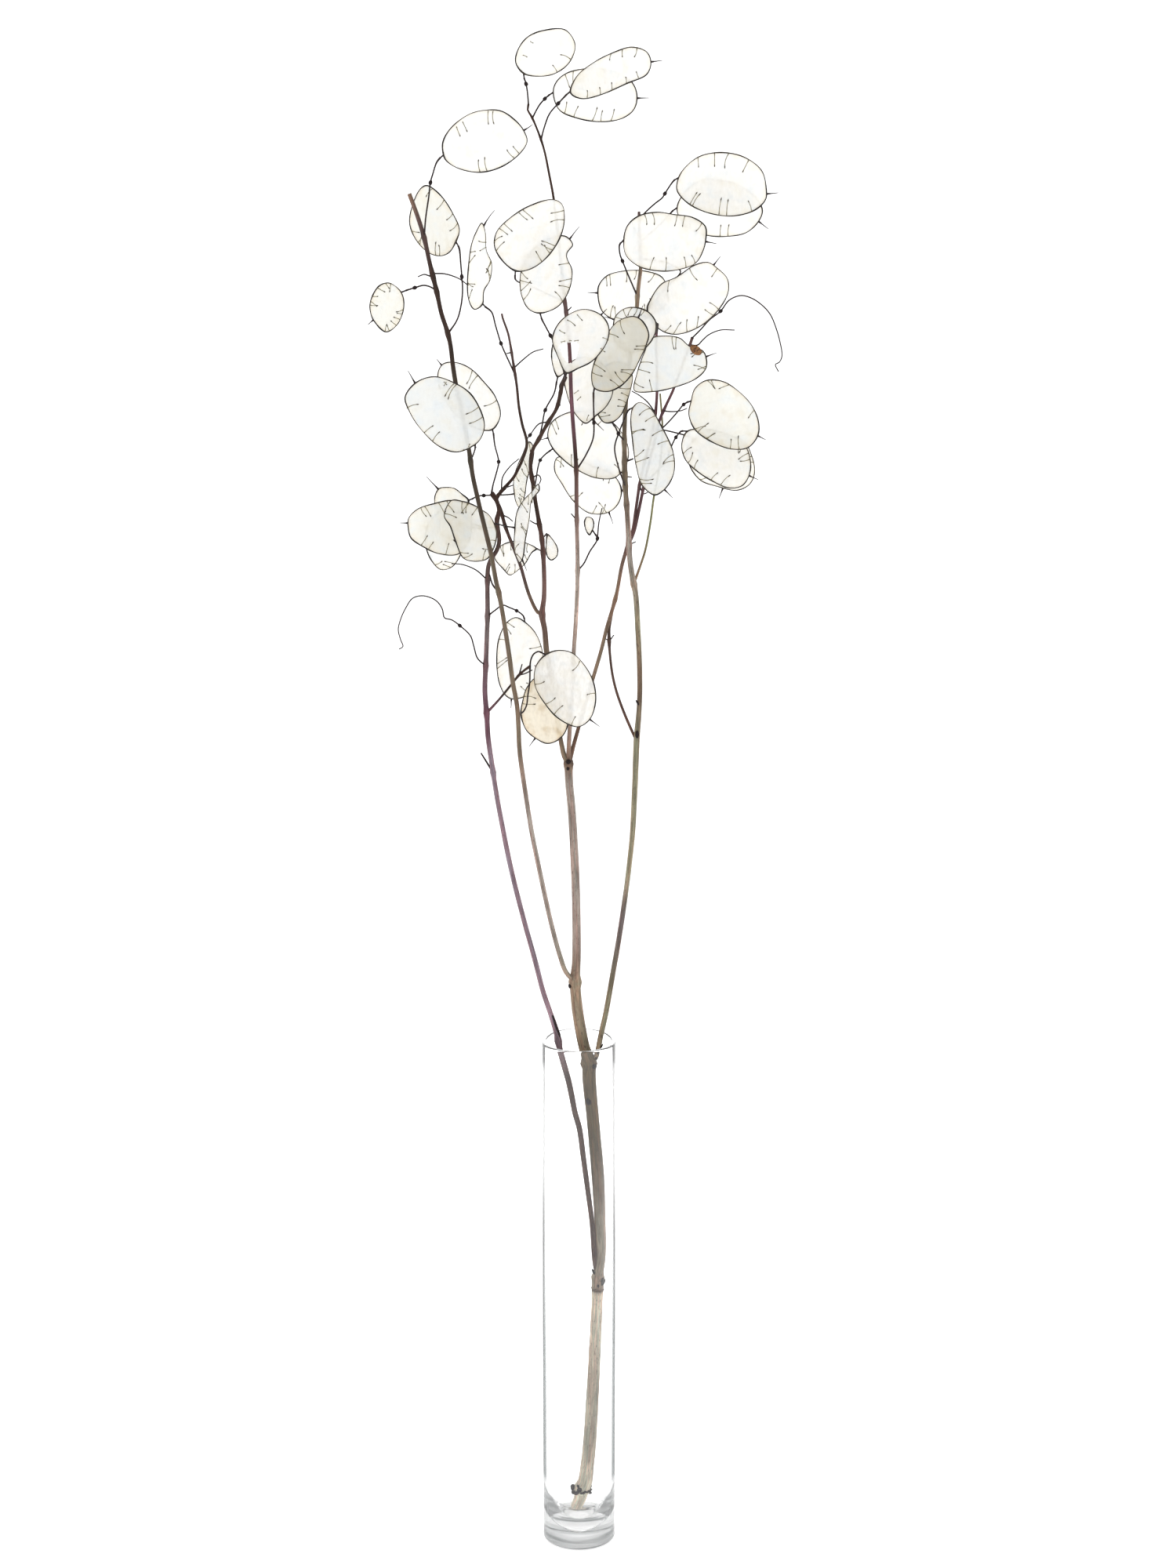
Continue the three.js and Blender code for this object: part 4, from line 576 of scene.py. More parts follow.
        (884, 560), (874, 575), (879, 596), (893, 614), (915, 622), (940, 627), (957, 619), (964, 603),
        (960, 580), (950, 562), (925, 552), (900, 550),
    ), stalk=((876, 556, 31), (862, 552, 33), (838, 548))),
    Pod("pod_low_1", "leftLow", depth=-18, yaw=-5, tone=Paper.SILK, style=(510, 667), rim=(
        (603, 668), (600, 646), (577, 637), (553, 641), (532, 648), (520, 660), (519, 673), (523, 687),
        (540, 699), (560, 707.5), (585, 708), (599, 692),
    ), stalk=((612, 671), (622, 673), (631, 672), (634, 663))),
    Pod("pod_low_2", "leftLow", depth=2, tone=Paper.SILK, style=(544, 608), knot=1, rim=(
        (599, 638), (590, 629), (580, 621.5), (569, 620), (559, 622), (553, 634), (556, 652),
        (575, 662), (593, 655),
    ), stalk=((609, 633), (617, 632), (627, 632), (630, 634))),
    Pod("pod_low_3", "leftLow", depth=-8, rim=(
        (596, 672), (585, 650), (562, 650), (545, 668), (541, 692), (548, 714), (562, 728), (578, 724),
        (592, 700),
    ), stalk=((610, 674), (625, 673), (634.5, 674))),
    Pod("pod_low_4", "leftLow", depth=-25, yaw=-15, style=(557.5, 458), knot=1, rim=(
        (629, 549), (640, 530), (633, 505), (618, 486), (601, 469), (583, 461), (566, 462), (559, 470),
        (557, 484), (566, 510), (586, 535), (610, 549),
    ), stalk=((631, 567), (636, 589), (634, 600), (629, 618), (627.5, 630)), threads=(
        ((603, 471), (595, 490)), ((610, 478), (598, 496.4)), ((635, 510), (617, 518)),
    )),
    Pod("pod_low_5", "leftLow", depth=-5, yaw=35, style=(651, 903), knot=1, rim=(
        (670, 792), (657, 786), (645, 793), (635, 814), (632, 842), (635, 870), (643, 887), (653, 893),
        (672, 888), (688, 866), (694, 838), (686, 809),
    ), stalk=((667, 785), (659, 779), (650, 775), (641, 772, -20), (632, 778), (622, 786))),
    Pod("pod_low_6", "lowTwig", depth=-14, yaw=-10, tone=Paper.TAN, creasing=1.8, style=(675, 952),
        rim=(
        (663, 911), (665, 895), (671, 876), (683, 863), (702, 862), (719, 876), (727, 905), (723, 933),
        (711, 946), (697, 950), (682, 943), (670, 932),
    ), stalk=((668, 907, -16), (671.6, 899.5, -18), (673.4, 886, -20), (675.6, 870, -23), (676, 851)),
        threads=(
        ((665, 889), (684.6, 890.5)), ((664.3, 897), (683.7, 897.7)),
    )),
    Pod("pod_low_7", "lowTwig", depth=-27, yaw=-8, creasing=1.9, style=(765, 926.5), rim=(
        (695, 834), (682, 850), (681, 874), (693, 897), (712, 918), (737, 928.5), (753, 919),
        (761, 897), (759, 872), (749, 851), (731, 832), (713, 828),
    ), stalk=((687, 831), (681, 834), (677, 842), (675.5, 850)), threads=(
        ((740.4, 842), (729.6, 856)), ((681, 873), (694.8, 869)), ((694.3, 899), (709, 889)),
        ((706, 912), (718.5, 899.5)), ((761.4, 884), (748.4, 886)), ((728.3, 926), (734, 913.8)),
    )),
)

SCARS: tuple[Scar, ...] = (
    Scar("main", (750.8, 1404.7), 1.5, 2.1, 0.7), Scar("main", (727, 1255), 1.2, 1.3),
    Scar("main", (758, 1357), 1.5, 1.5), Scar("main", (738, 1887), 0.6, 1.2, 0.8),
    Scar("main", (769.5, 1634), 1.0, 2.2, 0.8), Scar("main", (768, 1628), 0.7, 1.5, 0.6),
    Scar("main", (757.5, 1622), 0.8, 2.4, 0.6), Scar("main", (763, 1637), 0.7, 0.9, 0.4),
    Scar("right", (763, 1343), 0.8, 1.1, 0.5), Scar("right", (767, 1333), 0.5, 2.0, 0.4),
    Scar("right", (760.5, 1352), 0.6, 0.7, 0.5), Scar("right", (813.3, 897), 0.6, 1.8),
    Scar("right", (812.5, 935), 1.1, 2.2), Scar("main", (725, 971.5), 1.3, 1.4),
    Scar("main", (724.5, 979.5), 0.9, 1.0),
)

NODE_RINGS: tuple[NodeRing, ...] = (
    NodeRing((741.6, 1899), buds=28, size=1.0, left=1.6),
    NodeRing((762.8, 1643), buds=16, size=0.55, tone=Bark.NODE),
)


# ---- from the sheet to space --------------------------------------------------------------


@dataclass(frozen=True)
class Sheet:
    """The upright sheet on which the stem is drawn, and the eye that sees it."""

    width: float = 1500.0
    height: float = 2000.0
    focal: float = 4722.0
    eye: tuple[float, float, float] = (5.1, -1939.9, 973.7)
    look_down: float = math.radians(15.2)

    def sight_line(self, point: Point) -> Array:
        """The way in which a point of the sheet is seen from the eye.

        Args:
            point: the sheet point.

        Returns:
            The way, as long as it is along the middle line of view.
        """
        rise = (self.height / 2 - point[1]) / self.focal
        return np.array([
            (point[0] - self.width / 2) / self.focal,
            math.cos(self.look_down) + rise * math.sin(self.look_down),
            -math.sin(self.look_down) + rise * math.cos(self.look_down),
        ])

    def at_depth(self, point: Point, depth: float) -> Array:
        """The point of space that is seen at a sheet point, at a depth behind the vase's axis."""
        line = self.sight_line(point)
        return np.array(self.eye) + line * (depth - self.eye[1]) / line[1]

    def seen_on(self, course: Array, point: Point) -> Array:
        """The point of a course that is seen at a sheet point.

        Args:
            course: points of space, one a row.
            point: the sheet point.

        Returns:
            The course's point that lies nearest to the line of sight.
        """
        way = unit(self.sight_line(point))
        reach = course - np.array(self.eye)
        miss = reach - np.outer(reach @ way, way)
        return course[np.argmin((miss ** 2).sum(1))]


SHEET = Sheet()


def unit(way: Array) -> Array:
    """A way, one millimetre long."""
    return way / np.linalg.norm(way)


def lengths(course: Array) -> Array:
    """How far along a course each of its points lies."""
    return np.concatenate([[0.0], np.cumsum(np.linalg.norm(np.diff(course, axis=0), axis=1))])


def in_turn(course: Array) -> Array:
    """The share of the way along a course at which each of its points lies."""
    run = lengths(course)
    return run / run[-1]


def filled_in(route: Route, slot: int) -> Array:
    """A route's depths or radii, with the missing ones filled in evenly.

    Args:
        route: the route.
        slot: DEPTH or RADIUS.

    Returns:
        A value for each point of the route.
    """
    run = lengths(np.array([point[:2] for point in route], float))
    known = [index for index, point in enumerate(route) if len(point) > slot]
    return np.interp(run, run[known], [route[index][slot] for index in known])


@dataclass(frozen=True)
class Curve:
    """A smooth (centripetal Catmull-Rom) curve through points of space."""

    points: Array
    closed: bool = False
    fineness: int = 24

    def stretch(self, index: int, shares: Array) -> Array:
        """Points on the stretch between two of the curve's own points.

        Args:
            index: the number of the point that the stretch starts at.
            shares: shares of the way along the stretch.

        Returns:
            The point at each share.
        """
        count = len(self.points)
        if self.closed:
            p0, p1, p2, p3 = (self.points[(index + step) % count] for step in (-1, 0, 1, 2))
        else:
            p1, p2 = self.points[index], self.points[index + 1]
            p0 = self.points[index - 1] if index > 0 else 2 * p1 - p2
            p3 = self.points[index + 2] if index + 2 < count else 2 * p2 - p1
        gaps = ((p0, p1), (p1, p2), (p2, p3))
        d0, d1, d2 = (max(math.sqrt(np.linalg.norm(b - a)), 1e-4) for a, b in gaps)
        start = ((p1 - p0) / d0 - (p2 - p0) / (d0 + d1) + (p2 - p1) / d1) * d1
        end = ((p2 - p1) / d1 - (p3 - p1) / (d1 + d2) + (p3 - p2) / d2) * d1
        s = shares[:, None]
        return (p1 + start * s + (3 * (p2 - p1) - 2 * start - end) * s ** 2
                + (2 * (p1 - p2) + start + end) * s ** 3)

    def stepped(self, step: float, values: Array) -> tuple[Array, Array]:
        """Points along an open curve, about a step apart.

        Args:
            step: the distance between points, in millimetres.
            values: a value at each point that the curve goes through.

        Returns:
            The points, and the value at each.
        """
        places = [self.points[:1]]
        levels = [values[:1]]
        for index in range(len(self.points) - 1):
            gap = np.linalg.norm(self.points[index + 1] - self.points[index])
            parts = max(1, round(gap / step))
            shares = np.arange(1, parts + 1) / parts
            places.append(self.stretch(index, shares))
            levels.append(values[index] + (values[index + 1] - values[index]) * shares)
        return np.concatenate(places), np.concatenate(levels)

    def even(self, count: int) -> Array:
        """Points evenly spaced along the curve.

        Args:
            count: how many.

        Returns:
            The points, the last short of the first if the curve is closed.
        """
        shares = np.arange(self.fineness) / self.fineness
        stretches = len(self.points) if self.closed else len(self.points) - 1
        dense = np.concatenate([self.stretch(index, shares) for index in range(stretches)])
        dense = np.vstack([dense, self.points[:1] if self.closed else self.points[-1:]])
        run = lengths(dense)
        places = np.linspace(0, run[-1], count, endpoint=not self.closed)
        return np.column_stack([np.interp(places, run, axis) for axis in dense.T])


def inward_ways(ring: Array) -> Array:
    """The way into a counterclockwise ring of flat points, at each of them.

    Args:
        ring: the ring's points in turn.

    Returns:
        A way for each point, one millimetre long.
    """
    along = np.roll(ring, -1, axis=0) - np.roll(ring, 1, axis=0)
    ways = np.column_stack([-along[:, 1], along[:, 0]])
    return ways / np.linalg.norm(ways, axis=1)[:, None]


def inside(points: Array, ring: Array) -> Array:
    """Finds which points lie inside a ring.

    Args:
        points: flat points, one a row.
        ring: the ring's points in turn.

    Returns:
        Whether each point does.
    """
    within = np.zeros(len(points), bool)
    for start, end in zip(ring, np.roll(ring, -1, axis=0)):
        crosses = (start[1] > points[:, 1]) != (end[1] > points[:, 1])
        slope = (end[0] - start[0]) / (end[1] - start[1] if end[1] != start[1] else 1e-9)
        within ^= crosses & (points[:, 0] < slope * (points[:, 1] - start[1]) + start[0])
    return within


def rim_distance(points: Array, ring: Array) -> Array:
    """Measures how far points lie from a ring's edge.

    Args:
        points: flat points, one a row.
        ring: the ring's points in turn.

    Returns:
        Each point's distance.
    """
    best = np.full(len(points), np.inf)
    for start, end in zip(ring, np.roll(ring, -1, axis=0)):
        run = end - start
        share = np.clip((points - start) @ run / max(run @ run, 1e-9), 0, 1)
        best = np.minimum(best, np.linalg.norm(points - start - share[:, None] * run, axis=1))
    return best


# ---- nodes, meshes and objects ------------------------------------------------------------


def add_node(tree: Tree, kind: str, inputs: dict[Any, Any] | None = None, **settings: Any) -> Node:
    """Adds a node to a shader or geometry tree.

    Args:
        tree: the tree.
        kind: the node's type.
        inputs: for each input, by name or number, a value, a hex colour, the output that feeds
            it, or the node whose first output does.
        settings: the node's own settings.

    Returns:
        The node.
    """
    node = tree.nodes.new(kind)
    for key, value in settings.items():
        setattr(node, key, value)
    for key, value in (inputs or {}).items():
        if isinstance(value, Node):
            value = value.outputs[0]
        if isinstance(value, Socket):
            tree.links.new(value, node.inputs[key])
        else:
            is_colour = isinstance(value, str) and value.startswith("#")
            node.inputs[key].default_value = linear(value) if is_colour else value
    return node


def new_mesh(name: str, places: Array, faces: Sequence[Sequence[int]],
             edges: Sequence[Sequence[int]] = ()) -> Mesh:
    """A mesh in metres from places in millimetres.

    Args:
        name: the mesh's name.
        places: its points, one a row.
        faces: the numbers of each face's points.
        edges: the two numbers of each loose edge.

    Returns:
        The mesh.
    """
    mesh = bpy.data.meshes.new(name)
    mesh.from_pydata((places * MM).tolist(), list(edges), list(faces))
    return mesh


def keep(mesh: Mesh, name: str, values: Array) -> None:
    """Keeps a value for each point of a mesh as a named attribute.

    Args:
        mesh: the mesh.
        name: the attribute's name.
        values: a number, a vector or a colour for each point, one a row.
    """
    rows = np.asarray(values, np.float32).reshape(len(mesh.vertices), -1)
    kinds = {1: ("FLOAT", "value"), 3: ("FLOAT_VECTOR", "vector"), 4: ("FLOAT_COLOR", "color")}
    kind, slot = kinds[rows.shape[1]]
    mesh.attributes.new(name, kind, "POINT").data.foreach_set(slot, rows.ravel())


def between_poles(poles: tuple[Point, Point], rings: Sequence[Array],
                  flipped: bool = False) -> tuple[Array, list[Sequence[int]]]:
    """A closed skin from a pole over rings of points to another pole.

    Args:
        poles: the two poles.
        rings: the points of each ring in turn, the same number on each.
        flipped: whether the faces point the other way.

    Returns:
        The points and the faces.
    """
    places = np.concatenate([[poles[0]], *rings, [poles[1]]])
    faces: list[Sequence[int]] = []
    count, last = len(rings[0]), len(places) - 1
    for step in range(count):
        after = (step + 1) % count
        faces.append((0, 1 + after, 1 + step))
        for low in range(1, last - count, count):
            high = low + count
            faces.append((low + step, low + after, high + after, high + step))
        faces.append((last - count + step, last - count + after, last))
    if flipped:
        faces = [(face[0], *face[:0:-1]) for face in faces]
    return places, faces


def new_object(name: str, mesh: Mesh) -> bpy.types.Object:
    """An object at the origin that shows a mesh.

    Args:
        name: the object's name.
        mesh: the mesh.

    Returns:
        The object.
    """
    thing = bpy.data.objects.new(name, mesh)
    bpy.context.scene.collection.objects.link(thing)
    return thing


def as_one(name: str, meshes: Sequence[Mesh]) -> bpy.types.Object:
    """Makes one object of several meshes.

    Args:
        name: the object's name.
        meshes: the meshes.

    Returns:
        The object, with all their materials and attributes.
    """
    things = [new_object(name, mesh) for mesh in meshes]
    with bpy.context.temp_override(active_object=things[0], selected_editable_objects=things):
        bpy.ops.object.join()
    things[0].name = name
    return things[0]


def place(thing: bpy.types.Object, node: str, slot: str) -> None:
    """Puts a finished piece in the part.

    Args:
        thing: the piece, which rides on the body.
        node: the CAD node that it stands for.
        slot: its material slot; not used.
    """
    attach(thing, BODY)
    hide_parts(node)
    LOG.info("%s: %d faces", node, len(thing.data.polygons))


# ---- geometry nodes -----------------------------------------------------------------------


@dataclass
class Path:
    """The course of one tube: its points, the radius and the linear colour at each."""

    points: Array
    radii: Array
    colours: Array
    closed: bool = False


def path_mesh(name: str, paths: Sequence[Path]) -> Mesh:
    """Lays paths out as loose edges.

    Args:
        name: the mesh's name.
        paths: the paths.

    Returns:
        The mesh, with the attributes thick and tint at each point.
    """
    edges: list[tuple[int, int]] = []
    first = 0
    for path in paths:
        count = len(path.points)
        edges += [(first + step, first + step + 1) for step in range(count - 1)]
        if path.closed:
            edges.append((first + count - 1, first))
        first += count
    mesh = new_mesh(name, np.concatenate([path.points for path in paths]), (), edges)
    keep(mesh, "thick", np.concatenate([path.radii for path in paths]) * MM)
    keep(mesh, "tint", np.concatenate([path.colours for path in paths]))
    return mesh


@dataclass
class Bud:
    """A small swelling: its middle, the way it points and its size across and along that way."""

    middle: Array
    way: Array
    size: tuple[float, float, float]
    tone: Bark = Bark.KNOT


def bud_mesh(name: str, buds: Sequence[Bud]) -> Mesh:
    """A point for each bud, with its way, size and tint.

    Args:
        name: the mesh's name.
        buds: the buds.

    Returns:
        The mesh.
    """
    mesh = new_mesh(name, np.array([bud.middle for bud in buds]), ())
    keep(mesh, "way", np.array([bud.way for bud in buds]))
    keep(mesh, "size", np.array([bud.size for bud in buds]) * MM)
    keep(mesh, "tint", np.array([linear(bud.tone.value) for bud in buds]))
    return mesh


class NodeModel:
    """A Geometry Nodes tree with named inputs that is run on a mesh and leaves a plain mesh."""

    def __init__(self, name: str, inputs: dict[str, str], reads: dict[str, str]) -> None:
        """Starts the tree.

        Args:
            name: the tree's name.
            inputs: the type of each named input, apart from the geometry, seed and material.
            reads: the type of each attribute that the tree reads.
        """
        self.tree = bpy.data.node_groups.new(name, "GeometryNodeTree")
        sockets = self.tree.interface
        sockets.new_socket("Geometry", in_out="INPUT", socket_type="NodeSocketGeometry")
        sockets.new_socket("Geometry", in_out="OUTPUT", socket_type="NodeSocketGeometry")
        self.keys = {
            label: sockets.new_socket(label, in_out="INPUT", socket_type="NodeSocket" + kind).identifier
            for label, kind in {**inputs, "Seed": "Float", "Material": "Material"}.items()
        }
        self.start = add_node(self.tree, "NodeGroupInput").outputs
        self.read = {
            label: add_node(self.tree, "GeometryNodeInputNamedAttribute", {"Name": label}, data_type=kind)
            for label, kind in reads.items()
        }

    def roughened(self, geometry: Node, where: Node, height: Any) -> Node:
        """Raises and lowers a surface by noise.

        Args:
            geometry: the smooth geometry.
            where: each point's place in the noise.
            height: how far the surface goes each way.

        Returns:
            The rough geometry.
        """
        tree = self.tree
        noise = add_node(tree, "ShaderNodeTexNoise", {
            "Vector": where, "W": self.start["Seed"], "Scale": 1.0, "Detail": 2.0}, noise_dimensions="4D")
        centred = add_node(tree, "ShaderNodeMath", {0: noise, 1: 0.5}, operation="SUBTRACT")
        lift = add_node(tree, "ShaderNodeMath", {0: centred, 1: height}, operation="MULTIPLY")
        normal = add_node(tree, "GeometryNodeInputNormal")
        offset = add_node(tree, "ShaderNodeVectorMath", {0: normal, "Scale": lift}, operation="SCALE")
        return add_node(tree, "GeometryNodeSetPosition", {"Geometry": geometry, "Offset": offset})

    def finish(self, geometry: Node) -> None:
        """Ends the tree with smooth faces, real geometry and one material.

        Args:
            geometry: what the tree has made.
        """
        for kind, inputs in (
            ("GeometryNodeSetShadeSmooth", {}), ("GeometryNodeRealizeInstances", {}),
            ("GeometryNodeSetMaterial", {"Material": self.start["Material"]}), ("NodeGroupOutput", {}),
        ):
            geometry = add_node(self.tree, kind, {"Geometry": geometry, **inputs})

    def run(self, mesh: Mesh, values: dict[str, Any]) -> Mesh:
        """Runs the tree on a mesh.

        Args:
            mesh: what goes in.
            values: a value for each named input.

        Returns:
            The plain mesh that comes out.
        """
        thing = new_object(mesh.name, mesh)
        modifier = thing.modifiers.new("model", "NODES")
        modifier.node_group = self.tree
        for label, value in values.items():
            modifier[self.keys[label]] = value
        graph = bpy.context.evaluated_depsgraph_get()
        result = bpy.data.meshes.new_from_object(
            thing.evaluated_get(graph), preserve_all_data_layers=True, depsgraph=graph)
        bpy.data.objects.remove(thing)
        bpy.data.meshes.remove(mesh)
        return result


class TubeModel(NodeModel):
    """Tubes along paths. Attribute grain is a point's place in a straightened tube, in metres."""

    def __init__(self) -> None:
        """Builds the tree."""
        super().__init__(
            "tubes_along_paths",
            {"Sides": "Int", "Relief": "Float", "Grain Width": "Float", "Grain Length": "Float"},
            {"thick": "FLOAT", "around": "FLOAT_VECTOR", "along": "FLOAT", "grain": "FLOAT_VECTOR"})
        tree, start, read = self.tree, self.start, self.read
        rails = add_node(tree, "GeometryNodeMeshToCurve", {"Mesh": start["Geometry"]})
        length = add_node(tree, "GeometryNodeSplineParameter").outputs["Length"]
        railed = add_node(tree, "GeometryNodeStoreNamedAttribute", {
            "Geometry": rails, "Name": "along", "Value": length}, data_type="FLOAT", domain="POINT")
        circle = add_node(tree, "GeometryNodeCurvePrimitiveCircle", {
            "Resolution": start["Sides"], "Radius": 1.0}, mode="RADIUS")
        spot = add_node(tree, "GeometryNodeInputPosition")
        profile = add_node(tree, "GeometryNodeStoreNamedAttribute", {
            "Geometry": circle, "Name": "around", "Value": spot}, data_type="FLOAT_VECTOR", domain="POINT")
        tube = add_node(tree, "GeometryNodeCurveToMesh", {
            "Curve": railed, "Profile Curve": profile, "Scale": read["thick"], "Fill Caps": True})
        across = add_node(tree, "ShaderNodeVectorMath", {
            0: read["around"], "Scale": read["thick"]}, operation="SCALE")
        onward = add_node(tree, "ShaderNodeCombineXYZ", {"Z": read["along"]})
        grain = add_node(tree, "ShaderNodeVectorMath", {0: across, 1: onward}, operation="ADD")
        marked = add_node(tree, "GeometryNodeStoreNamedAttribute", {
            "Geometry": tube, "Name": "grain", "Value": grain}, data_type="FLOAT_VECTOR", domain="POINT")
        cell = add_node(tree, "ShaderNodeCombineXYZ", {
            "X": start["Grain Width"], "Y": start["Grain Width"], "Z": start["Grain Length"]})
        where = add_node(tree, "ShaderNodeVectorMath", {0: read["grain"], 1: cell}, operation="DIVIDE")
        height = add_node(tree, "ShaderNodeMath", {
            0: read["thick"], 1: start["Relief"]}, operation="MULTIPLY")
        self.finish(self.roughened(marked, where, height))


class BudModel(NodeModel):
    """Ragged little knots, buds and scars at points, each turned to its way and given its size."""

    def __init__(self) -> None:
        """Builds the tree."""
        super().__init__(
            "buds_at_points", {"Fineness": "Int", "Raggedness": "Float", "Rag Size": "Float"},
            {"way": "FLOAT_VECTOR", "size": "FLOAT_VECTOR"})
        tree, start, read = self.tree, self.start, self.read
        ball = add_node(tree, "GeometryNodeMeshIcoSphere", {
            "Radius": 1.0, "Subdivisions": start["Fineness"]})
        turn = add_node(tree, "FunctionNodeAlignRotationToVector", {"Vector": read["way"]}, axis="Z")
        copies = add_node(tree, "GeometryNodeInstanceOnPoints", {
            "Points": start["Geometry"], "Instance": ball, "Rotation": turn, "Scale": read["size"]})
        real = add_node(tree, "GeometryNodeRealizeInstances", {"Geometry": copies})
        spot = add_node(tree, "GeometryNodeInputPosition")
        marked = add_node(tree, "GeometryNodeStoreNamedAttribute", {
            "Geometry": real, "Name": "grain", "Value": spot}, data_type="FLOAT_VECTOR", domain="POINT")
        cell = add_node(tree, "ShaderNodeCombineXYZ", dict.fromkeys("XYZ", start["Rag Size"]))
        where = add_node(tree, "ShaderNodeVectorMath", {0: spot, 1: cell}, operation="DIVIDE")
        self.finish(self.roughened(marked, where, start["Raggedness"]))


# ---- finishes -----------------------------------------------------------------------------

RISE: Span = (0.0, 1.0)
FALL: Span = (1.0, 0.0)
NOISE_SPAN: Span = (0.3, 0.7)


def grain_noise(tree: Tree, attribute: str, cell: tuple[float, float, float],
                detail: float = 3.0) -> Node:
    """Noise on a point attribute that is in metres.

    Args:
        tree: the shader tree.
        attribute: the attribute's name.
        cell: the noise's size along the attribute's three axes, in millimetres.
        detail: how many finer layers the noise has.

    Returns:
        The noise, from 0 to 1.
    """
    source = add_node(tree, "ShaderNodeAttribute", attribute_name=attribute).outputs["Vector"]
    scaled = add_node(tree, "ShaderNodeMapping", {
        "Vector": source, "Scale": tuple(1 / (size * MM) for size in cell)})
    return add_node(tree, "ShaderNodeTexNoise", {"Vector": scaled, "Scale": 1.0, "Detail": detail})


def ramps(tree: Tree, *steps: tuple[Any, Span, Span]) -> Node:
    """The product of smooth steps.

    Args:
        tree: the shader tree.
        steps: for each, the value that it reads, the span of that value that it runs over, and
            its levels at the two ends of the span.

    Returns:
        The node that gives the product.
    """
    product: Node | None = None
    for value, span, levels in steps:
        step = add_node(tree, "ShaderNodeMapRange", {
            "Value": value, "From Min": span[0], "From Max": span[1],
            "To Min": levels[0], "To Max": levels[1]}, interpolation_type="SMOOTHSTEP")
        if product:
            step = add_node(tree, "ShaderNodeMath", {0: product, 1: step}, operation="MULTIPLY")
        product = step
    return product


def coated(tree: Tree, ground: Any, *coats: tuple[Any, str]) -> Socket:
    """A ground colour with other colours laid over it.

    Args:
        tree: the shader tree.
        ground: the colour underneath.
        coats: the share and the colour of each coat, the lowest first.

    Returns:
        The colour.
    """
    factor, under, over, result = 0, 6, 7, 2
    for share, colour in coats:
        ground = add_node(tree, "ShaderNodeMix", {factor: share, under: ground, over: colour},
                          data_type="RGBA").outputs[result]
    return ground


@dataclass(frozen=True)
class Finish:
    """A real material, by its name, and the shader that shows it."""

    name: str

    def shader(self, tree: Tree) -> Node:
        """Builds the surface in the material's tree, and gives its last node."""
        raise NotImplementedError

    def material(self) -> bpy.types.Material:
        """Builds the material.

        Returns:
            The material.
        """
        material = bpy.data.materials.new(self.name)
        material.use_nodes = True
        material.node_tree.nodes.clear()
        surface = self.shader(material.node_tree)
        add_node(material.node_tree, "ShaderNodeOutputMaterial", {"Surface": surface})
        return material


